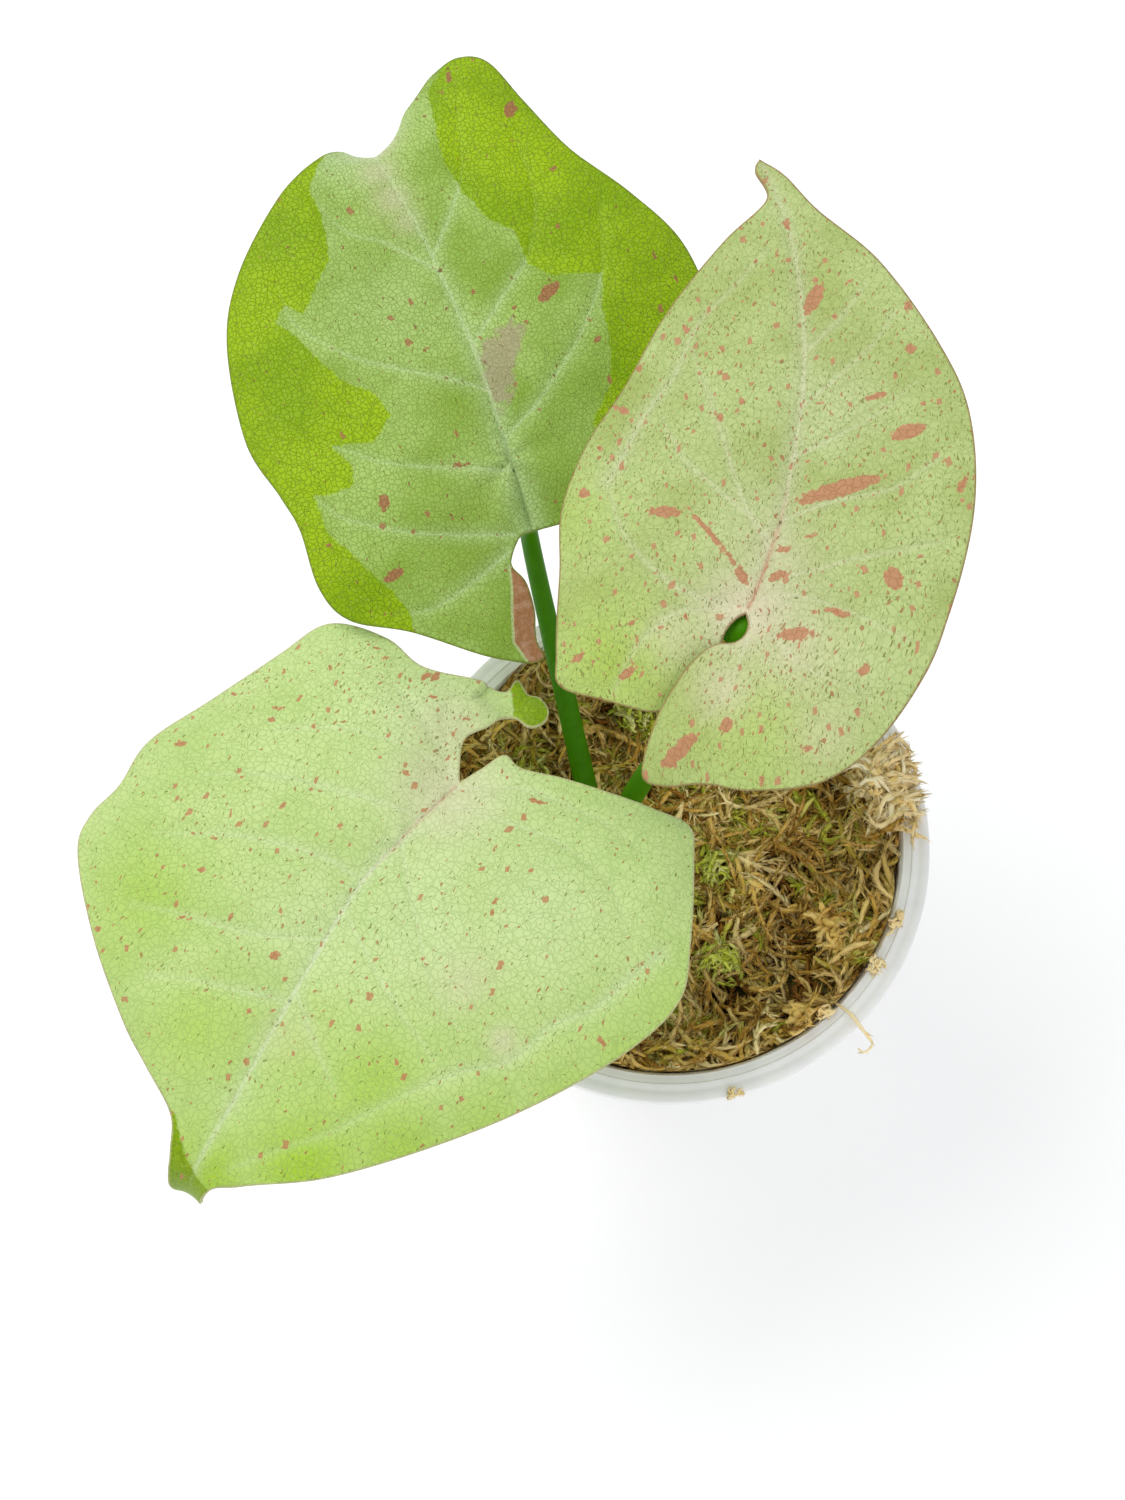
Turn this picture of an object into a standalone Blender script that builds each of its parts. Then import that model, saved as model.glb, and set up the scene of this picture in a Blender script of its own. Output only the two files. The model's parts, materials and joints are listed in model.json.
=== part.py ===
"""Arrowhead plant in a plastic nursery cup: pot, moss bed, stem, three petioles and three leaves.

Metres, +Z up. The origin is the middle of the pot's underside, where it stands.
The pot's axis is Z. +Y points to the back leaf and +X to the right of the plant.
"""
import math
import random

import bmesh
import bpy
import numpy as np
from mathutils import Vector, geometry, noise

MM = 0.001
GAP = 0.3 * MM                    # clearance between pieces that touch on the real plant

# Pot: a thin tapered cup with a stepped flange.
POT_HEIGHT = 75.0 * MM
POT_WALL = 1.0 * MM
POT_FLOOR = 1.2 * MM
POT_BASE_RADIUS = 30.0 * MM
POT_MOUTH_RADIUS = 38.2 * MM      # inner radius just under the flange
RIM_RADIUS = 43.0 * MM
RIM_THICKNESS = 1.2 * MM
RIM_LIP = 2.6 * MM                # height of the turned-down outer lip
POT_STEPS = 48
DRAIN_HOLES = 6
DRAIN_RADIUS = 2.5 * MM
DRAIN_RING_RADIUS = 17.0 * MM

# Moss: dried sphagnum that fills the pot to a few millimetres below the rim.
MOSS_LEVEL = 67.0 * MM
MOSS_LUMP = 1.8 * MM              # height of the lumps in its surface
MOSS_LUMP_SIZE = 11.0 * MM
MOSS_RINGS = 9
MOSS_STRANDS = 54
MOSS_STRAND_RADIUS = 0.85 * MM
STRAND_TAPER = (0.5, 0.9, 1.0, 0.9, 0.5)
STRAND_RISE = 1.1 * MM            # how far a strand's middle arches up
STRAND_SINK = 0.5 * MM            # how deep its ends go in
MOSS_SEED = 11
RIM_TUFT_STRANDS = 11
RIM_TUFT_FROM = math.radians(2)
RIM_TUFT_TO = math.radians(27)
TUFT_CORE_RADIUS = 3.8 * MM
TUFT_SOCKET_RADIUS = 4.3 * MM
TUFT_CLEARANCE = 7.0 * MM         # how far the dry strands keep from a tuft's middle
TUFT_SOCKET_DEPTH = 1.0 * MM
TUFT_SPRIGS = 10
# Where the live green tufts grow on the moss, seen from above.
GREEN_TUFTS = {
    "moss_tuft_back_left": (-23.0 * MM, 13.0 * MM),
    "moss_tuft_back": (-4.0 * MM, 24.0 * MM),
    "moss_tuft_middle": (8.5 * MM, -3.0 * MM),
    "moss_tuft_front": (9.0 * MM, -19.0 * MM),
}

# Stem: the short cutting that the three leaves grow from, set in the moss.
STEM_PLACE = Vector((-12.0 * MM, 1.0 * MM, 0.0))
STEM_BOTTOM = 38.0 * MM
STEM_TOP = 69.5 * MM
STEM_RADIUS = 2.6 * MM
STEM_STEPS = 16
STEM_JOINTS = (46.0 * MM, 55.0 * MM, 63.5 * MM)

PETIOLE_BASE_Z = 58.0 * MM
PETIOLE_BASE_RADIUS = 2.0 * MM
PETIOLE_TOP_RADIUS = 1.35 * MM
PETIOLE_POINTS = 12
NECK = 1.5 * MM                   # the stalk's last stretch, square to the blade
HOLE_POINTS = 5                   # how many of a stalk's points its hole in the moss follows

LEAF_THICKNESS = 0.8 * MM
LEAF_PITCH = 4.2 * MM             # size of the facets

# Each leaf is drawn flat, in millimetres: the first number runs from the petiole to the tip,
# the second to the leaf's left, as seen from above with the tip ahead. Both margins run
# from the tip to the notch where the petiole joins.
LEAVES = {
    "back": {
        "junction": (-21.5, 35.5, 117.0),
        "heading": 112.0,         # where the tip points, degrees from +X
        "pitch": 13.0,            # how far the tip is lifted
        "roll": -6.0,             # positive lifts the left side
        "midrib": [(79, 0), (66, 1), (50, -1), (30, -2), (12, -1), (0.5, 0)],
        "left": [(75, 2), (70, 5), (67, 9), (62.5, 17), (53.5, 27), (44, 32.5), (29, 35),
                 (19, 33), (13, 32), (4, 32.5), (-2, 30), (-7, 22), (-14, 13.5), (-17.5, 8),
                 (-17, 4.5), (-9, 4.4), (-2, 4), (0.2, 2)],
        "right": [(75, -3), (71.5, -7), (73.3, -12), (74.3, -16.5), (72, -20.5), (64, -23.3),
                  (54, -27), (44, -33), (34, -37.5), (22, -38), (10, -36), (-2, -32),
                  (-11, -27), (-15, -20), (-11, -14), (-4, -10), (-0.5, -6), (0.3, -2.5)],
        "fold": 3.0, "arch": 4.0, "lobe": 4.0, "left_drop": 1.5, "right_drop": 4.0,
        "wave": 0.9, "waves": 5.0, "roll_depth": 0.8,
        "curl_start": 59.0, "curl_radius": 7.0, "curl_width": 7.0,
        "slit": [(-25, 0), (0, 0)], "swing": 0.0, "lift": 0.0,
        "seat": (2.4, 0.0), "stalk_bearing": 92.0, "stalk_upright": 0.14,
    },
    "right": {
        "junction": (7.5, 12.7, 143.0),
        "heading": 82.0,
        "pitch": 4.0,
        "roll": -15.0,
        "midrib": [(73, 8.5), (62, 3), (50, -1), (34, -3.6), (16, -3.2), (6, -1.5), (0.2, 0.3)],
        "left": [(70, 8.5), (64, 5.8), (56, 10.5), (44, 17), (33, 21.5), (24, 26), (14, 28),
                 (4, 26.5), (-7, 25.5), (-11.5, 24.5), (-13, 18), (-14, 11), (-11.5, 8.3),
                 (-8.5, 6.6), (-6, 4.8), (-4.6, 3.3), (-2.4, 2.7), (-0.6, 1.5)],
        "right": [(69, 4), (62, -2), (53, -12), (40, -21.5), (29, -26.7), (15, -28.5),
                  (-1, -26), (-13, -22), (-20, -16), (-23, -7), (-23.3, 0), (-24.8, 5),
                  (-24, 8.4), (-16.6, 8), (-11, 6.3), (-8.8, 5.4), (-6.6, 4), (-5.2, 2.6),
                  (-4.5, 0.6), (-3.4, -0.4), (-1.6, -0.4)],
        "fold": 3.0, "arch": 4.0, "lobe": 3.0, "left_drop": 2.0, "right_drop": 2.0,
        "wave": 0.6, "waves": 4.0, "roll_depth": 0.8,
        "curl_start": 60.0, "curl_radius": 40.0, "curl_width": 12.0,
        "slit": [(-25, 14), (-9, 6.1), (-5, 3.1), (0, 0)], "swing": -9.0, "lift": 1.7,
        "seat": (1.6, 0.6), "stalk_bearing": 25.0, "stalk_upright": 0.56,
    },
    "front": {
        "junction": (-32.0, -1.5, 113.0),
        "heading": 238.0,
        "pitch": 4.0,
        "roll": 1.0,
        "midrib": [(77, -2.5), (57, -2), (42, -2.8), (22, -3.6), (12, -2.2), (0, 0)],
        "left": [(73, -0.5), (67, 1.2), (64, 5.3), (57, 15), (46, 24.8), (33, 34), (20, 41),
                 (10, 43.5), (2, 40.5), (-9, 34.5), (-13.5, 31), (-12, 25), (-8.6, 13.5),
                 (-6.2, 6.8), (-6.8, 3.4), (-3.5, 1.8), (-1.5, 0.8)],
        "right": [(73, -5), (68, -5.8), (65, -6.6), (61, -9), (57.5, -15.5), (54, -22),
                  (46.5, -32.5), (37.5, -42), (32, -43.8), (26, -42.8), (18, -43.3), (8, -39),
                  (-3, -34), (-11, -30.5), (-13.5, -22), (-12.5, -15), (-15.5, -8),
                  (-18, -4), (-20, -2.4), (-18.5, 0), (-18.8, 2), (-17.4, 4.4), (-15.2, 5),
                  (-13.3, 3.5), (-14, 0.8), (-12.7, -0.6), (-10, -1.4), (-6.2, -3.2), (-2.1, -1.4)],
        "fold": 3.0, "arch": 8.0, "lobe": 3.0, "left_drop": 3.0, "right_drop": 3.0,
        "wave": 0.8, "waves": 5.0, "roll_depth": 1.2,
        "curl_start": 61.5, "curl_radius": 6.5, "curl_width": 9.0,
        "slit": [(-25, 0), (0, 0)], "swing": 0.0, "lift": 0.0,
        "seat": (2.4, -0.4), "stalk_bearing": 205.0, "stalk_upright": 0.25,
    },
}
FOLD_WIDTH = 12.0                 # half-width of the valley along the midrib, mm
WAVE_WIDTH = 10.0                 # how far the margin's waves reach in, mm
MARGIN_ROLL_WIDTH = 5.0           # width of the strip that turns down at the margin, mm
SWING_REACH = 6.0                 # how soon an overlapping lobe swings across, mm

COLOURS = {
    "pot": (0.80, 0.80, 0.77),
    "moss": (0.35, 0.24, 0.09),
    "green_moss": (0.22, 0.30, 0.05),
    "stem": (0.13, 0.24, 0.05),
    "petiole": (0.06, 0.20, 0.02),
    "leaf": (0.47, 0.68, 0.30),
}


def make_material(name, roughness, metallic=0.0):
    """A plain Principled material in one of the plant's colours."""
    material = bpy.data.materials.new(name)
    material.use_nodes = True
    shader = material.node_tree.nodes["Principled BSDF"]
    shader.inputs["Base Color"].default_value = (*COLOURS[name], 1.0)
    shader.inputs["Roughness"].default_value = roughness
    shader.inputs["Metallic"].default_value = metallic
    return material


def new_object(name, mesh, collection, material=None):
    """An object for a mesh, placed in a collection."""
    thing = bpy.data.objects.new(name, mesh)
    collection.objects.link(thing)
    if material is not None:
        thing.data.materials.append(material)
    return thing


def evaluated_mesh(thing):
    """The mesh an object has after its modifiers."""
    bpy.context.view_layer.update()
    source = thing.evaluated_get(bpy.context.evaluated_depsgraph_get())
    return bpy.data.meshes.new_from_object(source)


def weld(mesh):
    """Joins the loose caps of a tube to its wall."""
    shape = bmesh.new()
    shape.from_mesh(mesh)
    bmesh.ops.remove_doubles(shape, verts=shape.verts, dist=0.001 * MM)
    shape.to_mesh(mesh)
    shape.free()


def bake(thing):
    """Replaces an object's mesh by its evaluated one and clears its modifiers."""
    mesh = evaluated_mesh(thing)
    thing.modifiers.clear()
    old = thing.data
    thing.data = mesh
    if isinstance(old, bpy.types.Mesh):
        bpy.data.meshes.remove(old)


def turned(name, profile, steps, collection, material=None):
    """A body turned about Z from a profile of (radius, height) that runs down its outer side."""
    mesh = bpy.data.meshes.new(name)
    points = [(radius, 0.0, height) for radius, height in profile]
    edges = [(i, i + 1) for i in range(len(points) - 1)]
    mesh.from_pydata(points, edges, [])
    thing = new_object(name, mesh, collection, material)
    screw = thing.modifiers.new("Turn", "SCREW")
    screw.steps = steps
    screw.render_steps = steps
    screw.use_merge_vertices = True
    screw.merge_threshold = 0.00001
    bake(thing)
    return thing


def tube(name, points, radii, collection, material=None, resolution=2):
    """A round bar along points, as a welded mesh with closed ends."""
    curve = bpy.data.curves.new(name, "CURVE")
    curve.dimensions = "3D"
    curve.bevel_depth = 1.0
    curve.bevel_resolution = resolution
    curve.use_fill_caps = True
    spline = curve.splines.new("POLY")
    spline.points.add(len(points) - 1)
    for knot, place, radius in zip(spline.points, points, radii):
        knot.co = (*place, 1.0)
        knot.radius = radius
    guide = new_object(name + "_guide", curve, collection)
    mesh = evaluated_mesh(guide)
    weld(mesh)
    thing = new_object(name, mesh, collection, material)
    thing.matrix_world = guide.matrix_world
    bpy.data.objects.remove(guide)
    bpy.data.curves.remove(curve)
    return thing


def boolean(thing, operation, collection, solver="EXACT"):
    """One Boolean with every object of a collection, applied; the collection is emptied."""
    cut = thing.modifiers.new(operation.title(), "BOOLEAN")
    cut.operation = operation
    cut.operand_type = "COLLECTION"
    cut.collection = collection
    cut.solver = solver
    bake(thing)
    for other in list(collection.objects):
        bpy.data.objects.remove(other)


def hide_cutters(collection):
    """Cutters aren't rendered and show as wires."""
    for cutter in collection.objects:
        cutter.hide_render = True
        cutter.display_type = "WIRE"


def shade(thing, angle=40):
    """Smooth shading with sharp edges kept."""
    thing.data.shade_smooth()
    thing.data.set_sharp_from_angle(angle=math.radians(angle))


def wall_radius(height):
    """The pot's inner radius at a height."""
    inner_base = POT_BASE_RADIUS - POT_WALL
    return inner_base + (POT_MOUTH_RADIUS - inner_base) * height / POT_HEIGHT


def make_pot(parts, cutters, material):
    """The cup: tapered wall, stepped flange with a turned-down lip, drain holes in its floor."""
    top = POT_HEIGHT
    step = 0.35 * MM
    under = top - RIM_THICKNESS
    shoulder = POT_HEIGHT - 4.0 * MM
    mouth = wall_radius(shoulder)
    flange = RIM_RADIUS - POT_MOUTH_RADIUS
    profile = [
        (0.0, POT_FLOOR),
        (wall_radius(POT_FLOOR) - 1.2 * MM, POT_FLOOR),
        (wall_radius(POT_FLOOR + 1.2 * MM), POT_FLOOR + 1.2 * MM),
        (mouth, shoulder),
        (POT_MOUTH_RADIUS, top - 1.4 * MM),
        (POT_MOUTH_RADIUS + 0.10 * flange, top - step),
        (POT_MOUTH_RADIUS + 0.38 * flange, top - step),
        (POT_MOUTH_RADIUS + 0.45 * flange, top),
        (POT_MOUTH_RADIUS + 0.85 * flange, top),
        (RIM_RADIUS, top - 0.5 * MM),
        (RIM_RADIUS, top - RIM_LIP),
        (RIM_RADIUS - POT_WALL, top - RIM_LIP),
        (RIM_RADIUS - POT_WALL, under),
        (POT_MOUTH_RADIUS + POT_WALL, under - step),
        (mouth + POT_WALL, shoulder - 0.4 * MM),
        (POT_BASE_RADIUS + 0.1 * MM, 1.0 * MM),
        (POT_BASE_RADIUS - 0.8 * MM, 0.0),
        (0.0, 0.0),
    ]
    pot = turned("pot", profile, POT_STEPS, parts, material)
    for i in range(DRAIN_HOLES):
        angle = 2 * math.pi * i / DRAIN_HOLES
        bpy.ops.mesh.primitive_cylinder_add(vertices=16, radius=DRAIN_RADIUS, depth=8 * MM)
        cutter = bpy.context.object
        cutter.location = (DRAIN_RING_RADIUS * math.cos(angle), DRAIN_RING_RADIUS * math.sin(angle), 0)
        bpy.context.collection.objects.unlink(cutter)
        cutters.objects.link(cutter)
    hide_cutters(cutters)
    boolean(pot, "DIFFERENCE", cutters)
    shade(pot)
    return pot


def moss_height(x, y):
    """How high the moss stands at a place, lumpy and a little lower at the wall."""
    spot = Vector((x / MOSS_LUMP_SIZE, y / MOSS_LUMP_SIZE, 3.7))
    lumps = noise.noise(spot) + 0.5 * noise.noise(spot * 2.3)
    edge = math.hypot(x, y) / wall_radius(MOSS_LEVEL)
    return MOSS_LEVEL + MOSS_LUMP * lumps - 1.2 * MM * edge ** 4


def clear_of_tufts(x, y):
    """Moves a place outwards from any green tuft that it is too near."""
    for tuft_x, tuft_y in GREEN_TUFTS.values():
        away = math.hypot(x - tuft_x, y - tuft_y)
        if away < TUFT_CLEARANCE:
            x = tuft_x + (x - tuft_x) * TUFT_CLEARANCE / away
            y = tuft_y + (y - tuft_y) * TUFT_CLEARANCE / away
    return x, y


def moss_strand(rng, index, collection):
    """One bent strand that dips into the bed at both ends."""
    reach = wall_radius(MOSS_LEVEL) - 5.0 * MM
    distance = reach * math.sqrt(rng.random())
    angle = rng.uniform(0, 2 * math.pi)
    heading = rng.uniform(0, 2 * math.pi)
    bend = rng.uniform(-1.2, 1.2)
    length = rng.uniform(9, 18) * MM
    x = distance * math.cos(angle)
    y = distance * math.sin(angle)
    points = []
    for i in range(len(STRAND_TAPER)):
        share = i / (len(STRAND_TAPER) - 1) - 0.5
        turn = heading + bend * share
        px = x + length * share * math.cos(turn)
        py = y + length * share * math.sin(turn)
        radius = math.hypot(px, py)
        limit = wall_radius(MOSS_LEVEL) - 2.2 * MM
        if radius > limit:
            px *= limit / radius
            py *= limit / radius
        px, py = clear_of_tufts(px, py)
        rise = STRAND_RISE * (1 - (2 * share) ** 4) - STRAND_SINK
        points.append((px, py, moss_height(px, py) + rise))
    radii = [MOSS_STRAND_RADIUS * size for size in STRAND_TAPER]
    return tube("strand_%02d" % index, points, radii, collection, resolution=0)


def rim_tuft_strand(rng, index, collection):
    """A pale strand that climbs out of the bed and leans over the rim on the right."""
    share = index / (RIM_TUFT_STRANDS - 1)
    angle = RIM_TUFT_FROM + (RIM_TUFT_TO - RIM_TUFT_FROM) * share
    lean = rng.uniform(-0.3, 0.3)
    reach = rng.uniform(-3.0, 3.2) * MM
    rise = rng.uniform(0.0, 2.2) * MM
    route = ((29.0 * MM, 65.0 * MM), (32.5 * MM, 70.0 * MM), (35.4 * MM, 74.6 * MM + rise / 2),
             (38.4 * MM + reach / 2, 77.5 * MM + rise), (40.6 * MM + reach, 77.4 * MM + rise))
    points = []
    for i, (radius, height) in enumerate(route):
        turn = angle + lean * (i / len(route)) ** 2
        points.append((radius * math.cos(turn), radius * math.sin(turn), height))
    radii = [size * MM for size in (1.9, 1.7, 1.4, 1.1, 0.4)]
    return tube("rim_strand_%02d" % index, points, radii, collection, resolution=0)


def make_moss_bed(parts, helpers, cutters, stand_ins, material):
    """The bed of dried moss, with strands on it, and plain holes for what stands in it."""
    outer = wall_radius(MOSS_LEVEL) - GAP - 0.1 * MM
    bottom = POT_FLOOR + GAP
    profile = [(outer * i / MOSS_RINGS, MOSS_LEVEL) for i in range(MOSS_RINGS + 1)]
    foot = wall_radius(POT_FLOOR + 1.2 * MM) - GAP - 0.2 * MM
    profile += [(foot, POT_FLOOR + 1.6 * MM), (foot - 1.4 * MM, bottom), (0.0, bottom)]
    bed = turned("moss_bed", profile, POT_STEPS, parts, material)
    for vertex in bed.data.vertices:
        if vertex.co.z > MOSS_LEVEL - 0.01 * MM:
            vertex.co.z = moss_height(vertex.co.x, vertex.co.y)
    rng = random.Random(MOSS_SEED)
    for i in range(MOSS_STRANDS):
        moss_strand(rng, i, helpers)
    for i in range(RIM_TUFT_STRANDS):
        rim_tuft_strand(rng, i, helpers)
    boolean(bed, "UNION", helpers, "MANIFOLD")
    for x, y in GREEN_TUFTS.values():
        floor = tuft_floor(x, y)
        bpy.ops.mesh.primitive_cylinder_add(vertices=14, radius=TUFT_SOCKET_RADIUS, depth=12 * MM)
        cutter = bpy.context.object
        cutter.location = (x, y, floor + 6 * MM)
        bpy.context.collection.objects.unlink(cutter)
        cutters.objects.link(cutter)
    for stand_in in stand_ins:
        cutters.objects.link(stand_in)
    hide_cutters(cutters)
    boolean(bed, "DIFFERENCE", cutters, "MANIFOLD")
    drop_scraps(bed)
    shade(bed, 60)
    return bed


def drop_scraps(thing):
    """Keeps only the largest connected body of a mesh."""
    shape = bmesh.new()
    shape.from_mesh(thing.data)
    unseen = set(shape.verts)
    bodies = []
    while unseen:
        body = set()
        front = [unseen.pop()]
        while front:
            vertex = front.pop()
            body.add(vertex)
            for edge in vertex.link_edges:
                other = edge.other_vert(vertex)
                if other in unseen:
                    unseen.remove(other)
                    front.append(other)
        bodies.append(body)
    bodies.sort(key=len)
    for body in bodies[:-1]:
        bmesh.ops.delete(shape, geom=list(body), context="VERTS")
    shape.to_mesh(thing.data)
    shape.free()


def tuft_floor(x, y):
    """The bottom of the dimple that a green tuft grows in."""
    return moss_height(x, y) - TUFT_SOCKET_DEPTH


def make_green_tuft(name, x, y, seed, parts, helpers, material):
    """A cushion of live moss: a low core with short leafy sprigs all over it."""
    rng = random.Random(seed)
    floor = tuft_floor(x, y) + GAP
    bpy.ops.mesh.primitive_uv_sphere_add(segments=10, ring_count=6, radius=TUFT_CORE_RADIUS)
    core = bpy.context.object
    core.name = name
    core.data.name = name
    bpy.context.collection.objects.unlink(core)
    parts.objects.link(core)
    core.data.materials.append(material)
    for vertex in core.data.vertices:
        flat = max(vertex.co.z, -0.35 * TUFT_CORE_RADIUS)
        vertex.co.z = (flat + 0.35 * TUFT_CORE_RADIUS) * 0.8
        vertex.co += Vector((x, y, floor))
    middle = Vector((x, y, floor + 0.5 * MM))
    for i in range(TUFT_SPRIGS):
        turn = 2.4 * i
        lift = math.radians(34 + 50 * i / TUFT_SPRIGS)
        out = math.cos(lift)
        way = Vector((math.cos(turn) * out, math.sin(turn) * out, math.sin(lift)))
        length = rng.uniform(4.6, 6.2) * MM
        points = [middle + way * 1.2 * MM, middle + way * length * 0.7, middle + way * length]
        tube("sprig", points, [1.1 * MM, 0.9 * MM, 0.3 * MM], helpers, resolution=0)
    boolean(core, "UNION", helpers, "MANIFOLD")
    shade(core, 50)
    return core


def make_stem(parts, cutters, material):
    """The short stem, swollen at its joints, and the cutter for its hole in the moss."""
    profile = [
        (0.0, STEM_TOP),
        (STEM_RADIUS * 0.45, STEM_TOP - 0.4 * MM),
        (STEM_RADIUS * 0.8, STEM_TOP - 2.5 * MM),
    ]
    for height in sorted(STEM_JOINTS, reverse=True):
        profile.append((STEM_RADIUS * 0.86, height + 1.2 * MM))
        profile.append((STEM_RADIUS, height))
        profile.append((STEM_RADIUS * 0.86, height - 1.2 * MM))
    profile += [(STEM_RADIUS * 0.8, STEM_BOTTOM + 1.5 * MM), (0.0, STEM_BOTTOM)]
    stem = turned("stem", profile, STEM_STEPS, parts, material)
    for vertex in stem.data.vertices:
        vertex.co += STEM_PLACE
    shade(stem)
    depth = 60 * MM
    bpy.ops.mesh.primitive_cylinder_add(vertices=STEM_STEPS, radius=STEM_RADIUS + GAP, depth=depth)
    cutter = bpy.context.object
    cutter.location = STEM_PLACE + Vector((0, 0, STEM_BOTTOM - GAP + depth / 2))
    bpy.context.collection.objects.unlink(cutter)
    return stem, cutter


def petiole_route(leaf):
    """Points of a leaf stalk: upright beside the stem, a bow out to its leaf, square to the blade."""
    bearing = math.radians(leaf["stalk_bearing"])
    stand = STEM_RADIUS + GAP + PETIOLE_BASE_RADIUS + 0.1 * MM
    foot = STEM_PLACE + Vector((math.cos(bearing) * stand, math.sin(bearing) * stand, PETIOLE_BASE_Z))
    origin, ahead, left, up = leaf_axes(leaf)
    outline = leaf_outline(leaf, LEAF_PITCH / MM)
    spot = np.array([leaf["seat"]])
    place = leaf_surface(leaf, spot, edge_distance(spot, outline))[0]
    blade = origin + (ahead * place[0] + left * place[1] + up * place[2]) * MM
    top = blade - up * (LEAF_THICKNESS / 2 + GAP + 0.1 * MM)
    neck = top - up * NECK
    collar = foot + Vector((0, 0, 8 * MM))
    rise = (neck - collar).length
    lift = collar + Vector((0, 0, rise * leaf["stalk_upright"]))
    ease = neck - up * rise * 0.15 - Vector((0, 0, rise * 0.15))
    points = [foot]
    for i in range(PETIOLE_POINTS):
        share = i / (PETIOLE_POINTS - 1)
        rest = 1 - share
        early = collar * rest ** 3 + lift * 3 * share * rest ** 2
        late = ease * 3 * share ** 2 * rest + neck * share ** 3
        points.append(early + late)
    return points + [top]


def petiole_radii(count, extra=0.0):
    """A stalk's radii from its broad base to its thin top."""
    slim = (PETIOLE_TOP_RADIUS - PETIOLE_BASE_RADIUS) / (count - 1)
    return [PETIOLE_BASE_RADIUS + slim * i + extra for i in range(count)]


def leaf_axes(leaf):
    """The leaf's place and its forward, left and up directions."""
    heading = math.radians(leaf["heading"])
    pitch = math.radians(leaf["pitch"])
    roll = math.radians(leaf["roll"])
    forward = Vector((math.cos(heading), math.sin(heading), 0.0))
    level = Vector((-math.sin(heading), math.cos(heading), 0.0))
    ahead = forward * math.cos(pitch) + Vector((0, 0, math.sin(pitch)))
    square = ahead.cross(level)
    left = level * math.cos(roll) + square * math.sin(roll)
    return Vector(leaf["junction"]) * MM, ahead, left, ahead.cross(left)


def smooth_line(points, spacing):
    """A smooth line through points, with a place about every spacing along it."""
    points = np.array(points, float)
    padded = np.vstack([2 * points[0] - points[1], points, 2 * points[-1] - points[-2]])
    fine = []
    for i in range(1, len(padded) - 2):
        before, start, end, after = padded[i - 1:i + 3]
        for share in np.linspace(0, 1, 24, endpoint=False):
            a = 2 * start
            b = (end - before) * share
            c = (2 * before - 5 * start + 4 * end - after) * share ** 2
            d = (3 * start - before - 3 * end + after) * share ** 3
            fine.append((a + b + c + d) / 2)
    fine = np.array(fine + [points[-1]])
    length = np.concatenate([[0], np.cumsum(np.linalg.norm(np.diff(fine, axis=0), axis=1))])
    marks = np.linspace(0, length[-1], max(2, round(length[-1] / spacing) + 1))
    return np.column_stack([np.interp(marks, length, fine[:, k]) for k in (0, 1)])


def leaf_outline(leaf, spacing):
    """The closed margin: tip, left side, notch, right side. Corners stay at tip and notch."""
    tip = leaf["midrib"][0]
    notch = leaf["midrib"][-1]
    left = smooth_line([tip] + leaf["left"] + [notch], spacing)
    right = smooth_line([tip] + leaf["right"] + [notch], spacing)
    return np.vstack([left, right[-2:0:-1]])


def edge_distance(places, outline):
    """How far each place is from the margin."""
    starts = outline
    ends = np.roll(outline, -1, axis=0)
    run = ends - starts
    squared = np.maximum((run ** 2).sum(axis=1), 1e-9)
    best = np.full(len(places), 1e9)
    for start, step, size in zip(starts, run, squared):
        share = np.clip(((places - start) @ step) / size, 0, 1)
        best = np.minimum(best, np.linalg.norm(places - start - share[:, None] * step, axis=1))
    return best


def inside(places, outline):
    """Which places lie within the margin, by counting crossings."""
    x, y = places[:, 0], places[:, 1]
    result = np.zeros(len(places), bool)
    for (x1, y1), (x2, y2) in zip(outline, np.roll(outline, -1, axis=0)):
        if y1 != y2:
            crossing = ((y1 > y) != (y2 > y)) & (x < (x2 - x1) * (y - y1) / (y2 - y1) + x1)
            result ^= crossing
    return result


def leaf_surface(leaf, places, edge):
    """Bends flat places of the blade into the leaf's form, in millimetres on its own axes."""
    along, across = places[:, 0].copy(), places[:, 1].copy()
    rib = np.array(sorted(leaf["midrib"]))
    off = across - np.interp(along, rib[:, 0], rib[:, 1])
    height = leaf["fold"] * (1 - np.exp(-np.abs(off) / FOLD_WIDTH))
    height -= leaf["arch"] * (np.maximum(along, 0) / 60) ** 2
    height -= leaf["lobe"] * (np.minimum(along, 0) / 20) ** 2
    height -= np.where(off > 0, leaf["left_drop"], leaf["right_drop"]) * (off / 30) ** 2
    turn = np.arctan2(off, along - 12)
    height += leaf["wave"] * np.exp(-edge / WAVE_WIDTH) * np.sin(leaf["waves"] * turn)
    height -= leaf["roll_depth"] * np.exp(-(edge / MARGIN_ROLL_WIDTH) ** 2)
    beyond = np.maximum(along - leaf["curl_start"], 0)
    tightness = np.exp(-(off / leaf["curl_width"]) ** 2) / leaf["curl_radius"] + 1e-9
    height -= (1 - np.cos(tightness * beyond)) / tightness
    along = np.where(beyond > 0, leaf["curl_start"] + np.sin(tightness * beyond) / tightness, along)
    slit = np.array(leaf["slit"])
    share = np.clip(-along / SWING_REACH, 0, 1) * (across < np.interp(along, slit[:, 0], slit[:, 1]))
    share = share * share * (3 - 2 * share) * (leaf["swing"] != 0)
    swing = np.radians(leaf["swing"]) * share
    swung_along = along * np.cos(swing) - across * np.sin(swing)
    across = along * np.sin(swing) + across * np.cos(swing)
    height += leaf["lift"] * share
    return np.column_stack([swung_along, across, height])


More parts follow.
